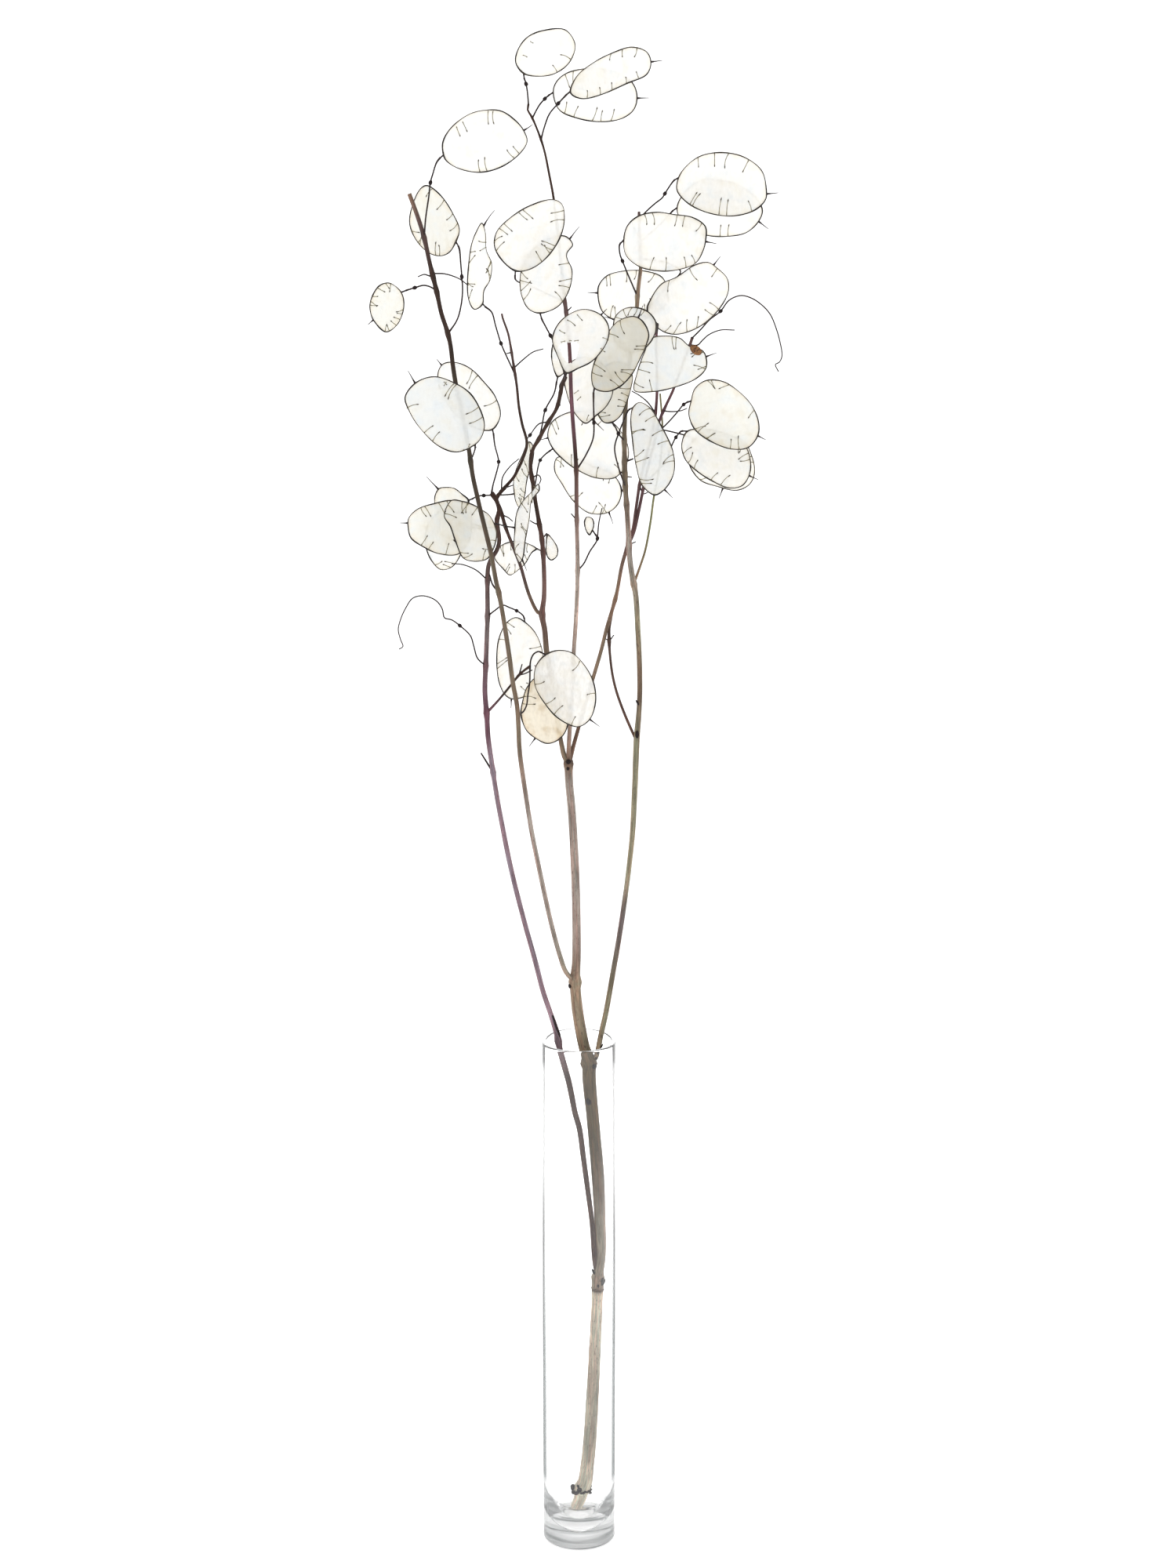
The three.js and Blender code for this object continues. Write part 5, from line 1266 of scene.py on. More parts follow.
@dataclass(frozen=True)
class ClearGlass(Finish):
    """Soda-lime glass, blown and fire-polished: colourless, glossy and grey where it turns away.

    Its grey where it turns away is painted shade that stands in for the darker surroundings
    seen through the wall at a slant. Its upper wall is fainter, and the walls above the bowl are
    a little hazy. The thick foot is grey in faint level bands and a dark murk: painted shade
    that stands in for the dark streaks that the thick foot refracts from its surroundings.
    Spans are heights or distances from the axis in millimetres, but edge_facing is how far the
    glass turns away from the eye.
    """

    name: str = "clear_glass"
    ior: float = 1.5
    # Painted shade: the grey that the glass takes where it turns away, for darker surroundings seen through
    # it.
    edge: str = "#767a7a"
    edge_facing: Span = (0.52, 0.72)
    edge_shade_share: float = 0.9
    low_edge: float = 0.12
    bowl_top: Span = (30.0, 42.0)
    thin_edge: float = 0.1
    edge_thins: Span = (110.0, 250.0)
    outer_wall: Span = (18.6, 20.0)
    # Painted shade: the grey of the foot and its bands, for the dark streaks that the thick foot refracts.
    foot: str = "#606464"
    foot_top: Span = (6.0, 9.5)
    foot_out: Span = (16.0, 18.0)
    heel: Span = (0.0, 2.2)
    band: float = 2.4
    band_length: float = 40.0
    band_span: Span = (0.38, 0.62)
    band_levels: Span = (0.45, 1.0)
    haze: str = "#e2e4e4"
    haze_share: float = 0.3
    haze_top: Span = (24.0, 34.0)
    # Painted shade: the dark murk colour in the foot, for the same dark streaks.
    foot_shade_haze: str = "#8a8e8e"
    foot_shade_haze_share: float = 0.16
    bowl_out: Span = (9.0, 11.0)
    above_foot: Span = (9.5, 13.5)
    clear_share: float = 0.5
    clear_up: Span = (160.0, 235.0)
    lip: Span = (284.0, 291.0)
    wave_size: float = 24.0
    wave_height: float = 0.005

    def shader(self, tree: Tree) -> Node:
        """Builds the surface: glass, hazed low down, and fading where it is faint.

        Args:
            tree: the material's tree.

        Returns:
            The node that gives the surface.
        """
        spot = add_node(tree, "ShaderNodeTexCoord").outputs["Object"]
        per_mm = 1 / MM
        scaled = add_node(tree, "ShaderNodeMapping", {"Vector": spot, "Scale": (per_mm, per_mm, per_mm)})
        up = add_node(tree, "ShaderNodeSeparateXYZ", {0: scaled}).outputs[2]
        flat = add_node(tree, "ShaderNodeMapping", {"Vector": spot, "Scale": (per_mm, per_mm, 0)})
        out = add_node(tree, "ShaderNodeVectorMath", {0: flat}, operation="LENGTH").outputs[1]
        turned = add_node(tree, "ShaderNodeLayerWeight").outputs["Facing"]
        waves = add_node(tree, "ShaderNodeTexNoise", {
            "Vector": spot, "Scale": 1 / (self.wave_size * MM), "Detail": 1.0})
        bump = add_node(tree, "ShaderNodeBump", {"Height": waves, "Distance": self.wave_height * MM})
        body = add_node(tree, "ShaderNodeBsdfPrincipled", {
            "Base Color": self.foot_shade_colour(tree, spot, up, out), "Roughness": 0.0, "IOR": self.ior,
            "Transmission Weight": 1.0, "Normal": bump})
        edge = add_node(tree, "ShaderNodeBsdfGlass", {
            "Color": self.edge, "Roughness": 0.0, "IOR": self.ior, "Normal": bump})
        # Painted shade: grey glass where the outer wall turns away from the eye, weaker low down and high
        # up.
        edge_shade = ramps(
            tree, (turned, self.edge_facing, (0.0, self.edge_shade_share)),
            (up, self.bowl_top, (self.low_edge, 1.0)), (up, self.edge_thins, (1.0, self.thin_edge)),
            (out, self.outer_wall, RISE))
        glass = add_node(tree, "ShaderNodeMixShader", {0: edge_shade, 1: body, 2: edge})
        above = ramps(tree, (up, self.above_foot, RISE))
        murk = add_node(tree, "ShaderNodeBsdfTranslucent", {
            "Color": coated(tree, self.foot_shade_haze, (above, self.haze))})
        high = ramps(tree, (up, self.haze_top, (self.haze_share, 0.0)), (up, self.above_foot, RISE),
                     (out, self.outer_wall, RISE))
        # Painted shade: the dark murk in the foot.
        low = ramps(tree, (up, self.foot_top, (self.foot_shade_haze_share, 0.0)), (out, self.bowl_out, RISE))
        hazed = add_node(tree, "ShaderNodeMath", {0: high, 1: low}, operation="ADD")
        hazy = add_node(tree, "ShaderNodeMixShader", {0: hazed, 1: glass, 2: murk})
        faint = ramps(tree, (turned, self.edge_facing, (0.0, self.clear_share)),
                      (up, self.clear_up, RISE), (up, self.lip, FALL))
        clear = add_node(tree, "ShaderNodeBsdfTransparent")
        return add_node(tree, "ShaderNodeMixShader", {0: faint, 1: hazy, 2: clear})

    def foot_shade_colour(self, tree: Tree, spot: Socket, up: Socket, out: Socket) -> Socket:
        """The glass's colour, grey in bands round the foot: painted shade.

        Args:
            tree: the shader tree.
            spot: the place on the glass, in metres.
            up: its height in millimetres.
            out: its distance from the axis in millimetres.

        Returns:
            The colour.
        """
        scaled = add_node(tree, "ShaderNodeMapping", {"Vector": spot, "Scale": tuple(
            1 / (size * MM) for size in (self.band_length, self.band_length, self.band))})
        bands = add_node(tree, "ShaderNodeTexNoise", {"Vector": scaled, "Scale": 1.0, "Detail": 2.0})
        streaked = add_node(tree, "ShaderNodeMath", {
            0: ramps(tree, (bands, self.band_span, self.band_levels)),
            1: ramps(tree, (up, self.heel, FALL))}, operation="MAXIMUM")
        low = ramps(tree, (up, self.foot_top, FALL), (out, self.foot_out, RISE))
        # Painted shade: the grey bands round the foot.
        grey = add_node(tree, "ShaderNodeMath", {0: low, 1: streaked}, operation="MULTIPLY")
        return coated(tree, "#ffffff", (grey, self.foot))


@dataclass(frozen=True)
class DryBark(Finish):
    """Dried herb stem: matt, finely ribbed along its length, mottled by its own weathering."""

    name: str = "dried_bark"
    rib_width: float = 0.7
    rib_length: float = 16.0
    rib_light: Span = (0.98, 1.75)
    mottle: float = 4.0
    mottle_light: Span = (0.76, 1.2)
    speck: float = 0.55
    speck_span: Span = (0.62, 0.72)
    speck_share: float = 0.6
    speck_colour: str = "#4a3637"
    streak_width: float = 1.0
    streak_length: float = 40.0
    streak_span: Span = (0.4, 0.6)
    warm: str = "#f3e0d4"
    cool: str = "#dfe5db"
    roughness: float = 0.72
    gloss: float = 0.3
    relief: float = 0.16

    def shader(self, tree: Tree) -> Node:
        """Builds the surface.

        Args:
            tree: the material's tree.

        Returns:
            The node that gives the surface.
        """
        tint = add_node(tree, "ShaderNodeAttribute", attribute_name="tint")
        ribs = grain_noise(tree, "grain", (self.rib_width, self.rib_width, self.rib_length))
        mottles = grain_noise(tree, "grain", (self.mottle, self.mottle, 3 * self.mottle))
        specks = grain_noise(tree, "grain", (self.speck, self.speck, 4 * self.speck), 1.0)
        streaks = grain_noise(tree, "grain", (self.streak_width, self.streak_width, self.streak_length))
        light = ramps(tree, (ribs, NOISE_SPAN, self.rib_light), (mottles, NOISE_SPAN, self.mottle_light))
        lit = add_node(tree, "ShaderNodeVectorMath", {0: tint, "Scale": light}, operation="SCALE")
        hue = coated(tree, self.cool, (ramps(tree, (streaks, self.streak_span, RISE)), self.warm))
        hued = add_node(tree, "ShaderNodeVectorMath", {0: lit, 1: hue}, operation="MULTIPLY")
        specked = coated(tree, hued.outputs[0], (
            ramps(tree, (specks, self.speck_span, (0.0, self.speck_share))), self.speck_colour))
        bump = add_node(tree, "ShaderNodeBump", {"Height": ribs, "Distance": self.relief * MM})
        return add_node(tree, "ShaderNodeBsdfPrincipled", {
            "Base Color": specked, "Roughness": self.roughness, "Specular IOR Level": self.gloss,
            "Normal": bump})


@dataclass(frozen=True)
class Septum(Finish):
    """Papery inner wall of an honesty pod: satin, nearly white, and it glows where light is behind.

    Its colour turns creamy at the rim and is stained here and there, in patches. Its cooler
    patches are partly its own tone and partly painted sheen for its bluish shimmer. Fine
    crinkles, deeper on a crumpled wall, bump it, and painted shade darkens it in soft flecks
    along them.
    """

    middle: str
    edge: str
    stain: str
    # The cool patches are partly the wall's own tone and partly painted sheen for its bluish shimmer.
    cool: str = "#e9eef1"
    cool_sheen: float = 0.5
    cool_sheen_span: Span = (0.3, 0.5)
    stained: float = 0.45
    stained_span: Span = (0.5, 0.72)
    edge_width: Span = (0.88, 3.52)
    wrinkle: float = 1.3
    wrinkle_height: float = 0.1
    blotch: float = 7.0
    # Painted shade: darker flecks that follow the crinkles' relief and deepen on a crumpled wall.
    fleck: float = 0.035
    fleck_span: Span = (0.42, 0.62)
    crinkle_shade_colour: str = "#b9b3a6"
    passes: float = 0.55
    gap_share: float = 0.3
    roughness: float = 0.5
    gloss: float = 0.25

    def shader(self, tree: Tree) -> Node:
        """Builds the surface.

        Args:
            tree: the material's tree.

        Returns:
            The node that gives the surface.
        """
        edge = add_node(tree, "ShaderNodeAttribute", attribute_name="edge").outputs["Fac"]
        creasing = add_node(tree, "ShaderNodeAttribute", attribute_name="creasing").outputs["Fac"]
        blotches = grain_noise(tree, "sheet", (self.blotch,) * 3, 4.0)
        widths = (self.edge_width[0] * MM, self.edge_width[1] * MM)
        inward = add_node(tree, "ShaderNodeMath", {
            0: edge, 1: ramps(tree, (blotches, NOISE_SPAN, widths))}, operation="DIVIDE", use_clamp=True)
        wrinkles = grain_noise(tree, "sheet", (self.wrinkle, 2.5 * self.wrinkle, self.wrinkle), 4.0)
        deep = add_node(tree, "ShaderNodeMath", {0: creasing, 1: 2.0}, operation="POWER")
        # Painted shade along the crinkles, from the same noise as their bump, stronger on a crumpled wall.
        flecks = ramps(tree, (wrinkles, self.fleck_span, (0.0, self.fleck)))
        fleck = add_node(tree, "ShaderNodeMath", {0: flecks, 1: deep}, operation="MULTIPLY")
        # Coats: the creamy rim to the middle, cool patches partly painted sheen, real stains, painted
        # crinkle shade.
        colour = coated(
            tree, self.edge, (inward, self.middle),
            (ramps(tree, (blotches, self.cool_sheen_span, (self.cool_sheen, 0.0))), self.cool),
            (ramps(tree, (blotches, self.stained_span, (0.0, self.stained))), self.stain),
            (fleck, self.crinkle_shade_colour))
        bump = add_node(tree, "ShaderNodeBump", {
            "Height": wrinkles, "Distance": self.wrinkle_height * MM})
        paper = add_node(tree, "ShaderNodeBsdfPrincipled", {
            "Base Color": colour, "Roughness": self.roughness, "Specular IOR Level": self.gloss,
            "Normal": bump})
        glow = add_node(tree, "ShaderNodeBsdfTranslucent", {"Color": colour, "Normal": bump})
        lit = add_node(tree, "ShaderNodeMixShader", {0: self.passes, 1: paper, 2: glow})
        clear = add_node(tree, "ShaderNodeBsdfTransparent")
        return add_node(tree, "ShaderNodeMixShader", {0: self.gap_share, 1: lit, 2: clear})


@dataclass(frozen=True)
class DryFibre(Finish):
    """Dried rim and seed threads of a pod: thin, tough plant fibre, olive-brown to nearly black."""

    name: str = "dried_fibre"
    mottle: float = 2.5
    mottle_light: Span = (0.6, 1.5)
    roughness: float = 0.65
    gloss: float = 0.3

    def shader(self, tree: Tree) -> Node:
        """Builds the surface.

        Args:
            tree: the material's tree.

        Returns:
            The node that gives the surface.
        """
        tint = add_node(tree, "ShaderNodeAttribute", attribute_name="tint")
        mottles = grain_noise(tree, "grain", (self.mottle,) * 3)
        light = ramps(tree, (mottles, NOISE_SPAN, self.mottle_light))
        colour = add_node(tree, "ShaderNodeVectorMath", {0: tint, "Scale": light}, operation="SCALE")
        return add_node(tree, "ShaderNodeBsdfPrincipled", {
            "Base Color": colour, "Roughness": self.roughness, "Specular IOR Level": self.gloss})


@dataclass(frozen=True)
class DryHusk(Finish):
    """Scrap of a pod's outer husk: brown, dry, wrinkled; painted shade in hollows, light on ridges."""

    name: str = "dried_husk"
    # Painted shade and light: the brown is darker in the wrinkles' hollows and lighter on their crests.
    hollow_shade: str = "#4a2c1a"
    ridge_light: str = "#9a6a3e"
    wrinkle: float = 0.8
    wrinkle_height: float = 0.2
    ridge_light_span: Span = (0.35, 0.65)
    roughness: float = 0.7

    def shader(self, tree: Tree) -> Node:
        """Builds the surface.

        Args:
            tree: the material's tree.

        Returns:
            The node that gives the surface.
        """
        wrinkles = grain_noise(tree, "sheet", (self.wrinkle, 2 * self.wrinkle, self.wrinkle), 4.0)
        # Painted shade and light, from the bump's own noise: dark where the wrinkles sink, light where they
        # rise.
        colour = coated(tree, self.hollow_shade, (ramps(tree, (wrinkles, self.ridge_light_span, RISE)), self.ridge_light))
        bump = add_node(tree, "ShaderNodeBump", {
            "Height": wrinkles, "Distance": self.wrinkle_height * MM})
        return add_node(tree, "ShaderNodeBsdfPrincipled", {
            "Base Color": colour, "Roughness": self.roughness, "Normal": bump})


@dataclass(frozen=True)
class Glow:
    """Light that is stronger behind the part than before it, but even to the camera."""

    front: float = 0.54
    back: float = 1.3
    turn_at: float = 0.3

    def strength(self, tree: Tree, spot: Socket, seen: float) -> Node:
        """The light's strength.

        Args:
            tree: the shader tree.
            spot: the place or direction that the light comes from.
            seen: the light that the camera sees.

        Returns:
            The node that gives the strength.
        """
        camera = add_node(tree, "ShaderNodeLightPath").outputs["Is Camera Ray"]
        depth = add_node(tree, "ShaderNodeSeparateXYZ", {0: spot}).outputs[1]
        level = ramps(tree, (depth, (-self.turn_at, self.turn_at), (self.front, self.back)))
        return add_node(tree, "ShaderNodeMix", {0: camera, 2: level, 3: seen})


@dataclass(frozen=True)
class WhitePaper(Finish):
    """Matt white paper, lit through from below. It gives a plain ground without a shine."""

    name: str = "matt_white_paper"
    colour: str = "#cbcbcb"
    roughness: float = 0.9
    seen: float = 0.7

    def shader(self, tree: Tree) -> Node:
        """Builds the surface.

        Args:
            tree: the material's tree.

        Returns:
            The node that gives the surface.
        """
        spot = add_node(tree, "ShaderNodeTexCoord").outputs["Object"]
        return add_node(tree, "ShaderNodeBsdfPrincipled", {
            "Base Color": self.colour, "Roughness": self.roughness, "Specular IOR Level": 0.0,
            "Emission Color": "#ffffff", "Emission Strength": Glow().strength(tree, spot, self.seen)})


PAPERS = {
    Paper.IVORY: Septum("ivory_septum", "#f7f6f3", "#f5f1e7", "#f0ece0"),
    Paper.SILK: Septum("silk_septum", "#f0efe9", "#f1ebdd", "#e8e2d2"),
    # The darker cream wall is partly painted shade from overlapping pods.
    Paper.CREAM: Septum("shaded_cream_septum", "#e4e2d9", "#e7e0ce", "#d8d1bc", cool="#dfe4e6"),
    Paper.COOL: Septum("cool_septum", "#ecedeb", "#f3f0e6", "#ebe8de", cool="#e4eaee"),
    Paper.TAN: Septum("tan_septum", "#f2ebdb", "#ebdbbf", "#d2bd97", cool_sheen=0.0, stained=0.5),
}


# ---- vase ---------------------------------------------------------------------------------


@dataclass
class Vase:
    """A tall straight tube of clear glass with a thick, bowl-shaped floor and a polished lip."""

    radius: float = 20.4
    height: float = 300.0
    wall: float = 2.3
    floor: float = 6.2
    bowl: float = 30.0
    heel: float = 1.5
    lip_steps: int = 10
    bowl_steps: int = 28
    segments: int = 144
    finish: Finish = field(default_factory=ClearGlass)

    def profile(self) -> Array:
        """Half of the glass's section, from the middle of the underside to that of the floor.

        Returns:
            Points (distance from the axis, height).
        """
        quarter = math.pi / 2
        heel = [(self.radius - self.heel * (1 - math.cos(a)), self.heel * (1 + math.sin(a)))
                for a in np.linspace(-quarter, 0, self.lip_steps)]
        bead = self.wall / 2
        lip = [(self.radius - bead + bead * math.cos(a), self.height - bead * (1 - math.sin(a)))
               for a in np.linspace(0, 2 * quarter, 2 * self.lip_steps)]
        inner = self.radius - self.wall
        bowl = [(inner * math.cos(a), self.floor + self.bowl * (1 - math.sin(a)))
                for a in np.linspace(0, quarter, self.bowl_steps)[:-1]]
        return np.array([(0, 0), *heel, *lip, *bowl, (0, self.floor)])

    def build(self) -> None:
        """Turns the profile about the axis and puts the vase in the part."""
        (_, bottom), *rings, (_, top) = self.profile()
        turn = np.arange(self.segments) * 2 * math.pi / self.segments
        mesh = new_mesh("glass", *between_poles(((0, 0, bottom), (0, 0, top)), [
            np.column_stack([out * np.cos(turn), out * np.sin(turn), np.full(self.segments, up)])
            for out, up in rings]))
        mesh.materials.append(self.finish.material())
        mesh.shade_smooth()
        place(new_object("vase_glass", mesh), "glass_vase", "clear_glass")


# ---- stem ---------------------------------------------------------------------------------


class PodPlane:
    """The plane that a pod's rim lies in: x across it, y up it and z toward the viewer."""

    def __init__(self, pod: Pod) -> None:
        """Turns the plane as the pod is turned, and finds the base of its rim.

        Args:
            pod: the pod.
        """
        turn, tilt = math.radians(pod.yaw), math.radians(pod.pitch)
        normal = np.array([
            math.sin(turn) * math.cos(tilt), -math.cos(turn) * math.cos(tilt), math.sin(tilt)])
        across = np.array([math.cos(turn), math.sin(turn), 0.0])
        self.axes = np.column_stack([across, np.cross(normal, across), normal])
        self.middle = SHEET.at_depth(np.mean([point[:2] for point in pod.rim], axis=0), pod.depth)
        self.base = self.in_space(np.array([*self.seen(pod.rim[0]), 0.0]))

    def seen(self, point: Point) -> Array:
        """Finds the place of the plane that is seen at a sheet point.

        Args:
            point: the sheet point.

        Returns:
            The place across and up the plane.
        """
        eye, normal = np.array(SHEET.eye), self.axes[:, 2]
        line = SHEET.sight_line(point)
        reach = ((self.middle - eye) @ normal) / (line @ normal)
        return ((eye + line * reach - self.middle) @ self.axes)[:2]

    def in_space(self, places: Array) -> Array:
        """Places in the plane's own frame as points of space."""
        return places @ self.axes.T + self.middle

    def beyond_base(self, point: Point, depth: float, reach: float) -> Array:
        """The point so far from the rim's base toward what is seen at a sheet point and depth."""
        return self.base + unit(SHEET.at_depth(point, depth) - self.base) * reach


@dataclass
class Stem:
    """The whole dried stem: branches, twigs, pod stalks with their knots, and bare threads.

    The bark swells by collar wherever something grows from it. A stalk widens to end_radius
    over end_share of its length at each end, and a bare thread loses thread_thins of its radius.
    """

    branch_step: float = 2.0
    stalk_step: float = 1.0
    stalk_radius: float = 0.42
    end_radius: float = 0.55
    end_share: float = 0.08
    thread_thins: float = 0.3
    nub_reach: float = 1.9
    collar: float = 0.3
    collar_length: float = 2.2
    knot_size: tuple[float, float, float] = (1.0, 1.0, 1.35)
    scar_rise: float = 0.25
    ring_sunk: float = 0.3
    ring_rise: Span = (-0.1, 0.25)
    ring_spread: Span = (0.5, 1.0)
    ring_drop: Span = (-1.0, 1.2)
    ring_reach: float = 1.4
    left_from: float = -0.2
    sides: int = 12
    relief: float = 0.12
    grain_size: Span = (1.6, 9.0)
    raggedness: float = 0.7
    rag_size: float = 0.45
    radii: dict[str, Array] = field(default_factory=dict)
    courses: dict[str, Array] = field(default_factory=dict)
    seats: dict[str, list[Array]] = field(default_factory=dict)
    buds: list[Bud] = field(default_factory=list)

    def lay(self, name: str, points: Array, radii: Array, step: float) -> Array:
        """Settles a course through points that others may grow from, and gives its own points."""
        self.courses[name], self.radii[name] = Curve(points).stepped(step, radii)
        return self.courses[name]

    def seat(self, root: str, point: Point) -> Array:
        """Finds where something grows from a course, and marks the place for the swelling bark.

        Args:
            root: the course's name.
            point: the sheet point.

        Returns:
            The point of the course.
        """
        found = SHEET.seen_on(self.courses[root], point)
        self.seats.setdefault(root, []).append(found)
        return found

    def route_points(self, route: Route, root: str | None) -> Array:
        """A route's points in space.

        Args:
            route: the route.
            root: the branch that bears it, if one does.

        Returns:
            The points. The first sits on the axis of the root.
        """
        points = [SHEET.at_depth(point, depth) for point, depth in zip(route, filled_in(route, DEPTH))]
        if root:
            points[0] = self.seat(root, route[0])
        return np.array(points)

    def knot(self, course: Array, index: int) -> None:
        """Adds the ragged knot where two lengths of a stalk meet."""
        way = unit(course[index + 1] - course[index - 1])
        self.buds.append(Bud(course[index], way, self.knot_size))

    def swollen(self, name: str) -> Array:
        """A course's radii, with the swellings of the bark.

        Args:
            name: the course's name.

        Returns:
            The radius at each of the course's points.
        """
        swell = np.zeros(len(self.courses[name]))
        for seat in self.seats.get(name, []):
            away = np.linalg.norm(self.courses[name] - seat, axis=1) / self.collar_length
            swell = np.maximum(swell, self.collar * np.exp(-away ** 2))
        return self.radii[name] * (1 + swell)

    def branch_path(self, branch: Branch) -> Path:
        """A branch, swollen where stalks and side branches leave it.

        Args:
            branch: the branch.

        Returns:
            Its path.
        """
        course = self.courses[branch.name]
        shares, tones = zip(*branch.tones)
        colours = np.array([linear(tone.value) for tone in tones])
        tints = np.column_stack([np.interp(in_turn(course), shares, part) for part in colours.T])
        return Path(course, self.swollen(branch.name), tints)

    def stalk_path(self, pod: Pod) -> Path:
        """The stalk of a pod, from the end of the pod's nub to its branch.

        Args:
            pod: the pod.

        Returns:
            The stalk's path.
        """
        plane, last = PodPlane(pod), pod.stalk[-1]
        seat = self.seat(pod.root, last)
        marks = ((*pod.rim[0][:2], plane.base[1]), *pod.stalk[:-1], (*last[:2], seat[1]))
        depths = filled_in(marks, DEPTH)
        start = plane.beyond_base(pod.stalk[0], depths[1], self.nub_reach)
        between = [SHEET.at_depth(point, depth) for point, depth in zip(pod.stalk[:-1], depths[1:])]
        points = np.array([start, *between, seat])
        course = self.lay(pod.name, points, np.full(len(points), self.stalk_radius), self.stalk_step)
        if pod.knot is not None:
            self.knot(points, pod.knot + 1)
        run = in_turn(course)
        swell = np.exp(-(run / self.end_share) ** 2) + np.exp(-((1 - run) / self.end_share) ** 2)
        radii = self.stalk_radius + (self.end_radius - self.stalk_radius) * np.minimum(swell, 1)
        return Path(course, radii, even_colour(Bark.STALK, len(course)))

    def thread_path(self, thread: Thread) -> Path:
        """A bare thread, thinning toward its end.

        Args:
            thread: the thread.

        Returns:
            Its path.
        """
        first = thread.route[0]
        seat = SHEET.seen_on(self.courses[thread.root], first)
        points = self.route_points(((*first[:2], seat[1]), *thread.route[1:]), thread.root)
        if thread.knot is not None:
            self.knot(points, thread.knot)
        course, radii = Curve(points).stepped(self.stalk_step, np.full(len(points), thread.radius))
        thinning = 1 - self.thread_thins * in_turn(course)
        return Path(course, radii * thinning, even_colour(thread.tone, len(course)))

    def axis_at(self, root: str, mark: Point) -> tuple[Array, float]:
        """Finds a mark on a course.

        Args:
            root: the course's name.
            mark: the sheet point at which the mark is seen.

        Returns:
            The point of the course, and the radius there.
        """
        course = self.courses[root]
        found = SHEET.seen_on(course, mark)
        return found, self.swollen(root)[np.argmin(np.linalg.norm(course - found, axis=1))]

    def add_scar(self, scar: Scar) -> None:
        """Adds a dark mark that lies in the bark where it is seen.

        Args:
            scar: the mark.
        """
        seat, radius = self.axis_at(scar.root, scar.mark)
        side = np.clip((SHEET.at_depth(scar.mark, seat[1]) - seat)[0], -radius, radius)
        out = np.array([side, -math.sqrt(radius ** 2 - side ** 2), 0]) / radius
        size = (scar.across, scar.along, scar.stands_out)
        self.buds.append(Bud(seat + out * (radius + self.scar_rise), out, size, scar.tone))

    def add_ring(self, ring: NodeRing) -> None:
        """Adds the ragged ring of leaf bases round a node.

        Args:
            ring: the ring.
        """
        draw = random.Random(f"node {ring.mark}")
        centre, radius = self.axis_at("main", ring.mark)
        for index in range(ring.buds):
            angle = 2 * math.pi * index / ring.buds
            out = np.array([math.cos(angle), math.sin(angle), draw.uniform(*self.ring_rise)])
            wider = ring.left if math.cos(angle) < self.left_from else 1
            spread = ring.size * draw.uniform(*self.ring_spread) * wider
            drop = np.array([0, 0, draw.uniform(*self.ring_drop) * ring.size])
            size = (spread, spread, self.ring_reach * ring.size)
            self.buds.append(Bud(centre + out * (radius - self.ring_sunk) + drop, out, size, ring.tone))

    def build(self, tubes: TubeModel, bud_model: BudModel) -> None:
        """Makes the stem and puts it in the part.

        Args:
            tubes: makes the branches, stalks and threads.
            bud_model: makes the knots and scars.
        """
        for branch in BRANCHES:
            points = self.route_points(branch.route, branch.root)
            self.lay(branch.name, points, filled_in(branch.route, RADIUS), self.branch_step)
        grown = [self.stalk_path(pod) for pod in PODS]
        grown += [self.thread_path(thread) for thread in THREADS]
        for scar in SCARS:
            self.add_scar(scar)
        for ring in NODE_RINGS:
            self.add_ring(ring)
        # The branches' paths come last, because the bark swells where all else grows from it.
        paths = [self.branch_path(branch) for branch in BRANCHES] + grown
        bark = DryBark().material()
        width, length = self.grain_size
        wood = tubes.run(path_mesh("stem_paths", paths), {
            "Sides": self.sides, "Relief": self.relief, "Grain Width": width * MM,
            "Grain Length": length * MM, "Seed": 3.0, "Material": bark})
        knots = bud_model.run(bud_mesh("stem_knots", self.buds), {
            "Fineness": 3, "Raggedness": self.raggedness * MM, "Rag Size": self.rag_size * MM,
            "Seed": 5.0, "Material": bark})
        place(as_one("dried_stem", [wood, knots]), "stem", "dried_stem")


# ---- pods ---------------------------------------------------------------------------------


class Ripples:
    """A gentle unevenness of a sheet: sine waves with drawn ways and phases."""

    def __init__(self, seed: str, wavelengths: Sequence[float], height: float) -> None:
        """Draws the waves.

        Args:
            seed: what the draw starts from.
            wavelengths: the length of each wave, in millimetres.
            height: how far all waves together may reach.
        """
        draw = random.Random(seed)
        turns = [draw.uniform(0, math.pi) for _ in wavelengths]
        self.pulls = np.array([[math.cos(turn), math.sin(turn)] for turn in turns])
        self.pulls *= (2 * math.pi / np.array(wavelengths))[:, None]
        self.phases = np.array([draw.uniform(0, 2 * math.pi) for _ in wavelengths])
        self.height = height / len(wavelengths)

    def at(self, places: Array) -> Array:
        """The height at each flat place."""
        return self.height * np.sin(places @ self.pulls.T + self.phases).sum(1)


def turned(places: Array, angle: float) -> Array:
    """Flat places turned counterclockwise about the origin.

    Args:
        places: the places, one a row.
        angle: how far to turn them, in radians.

    Returns:
        The turned places.
    """
    across, up = places.T
    return np.column_stack([
        across * math.cos(angle) - up * math.sin(angle), across * math.sin(angle) + up * math.cos(angle)])


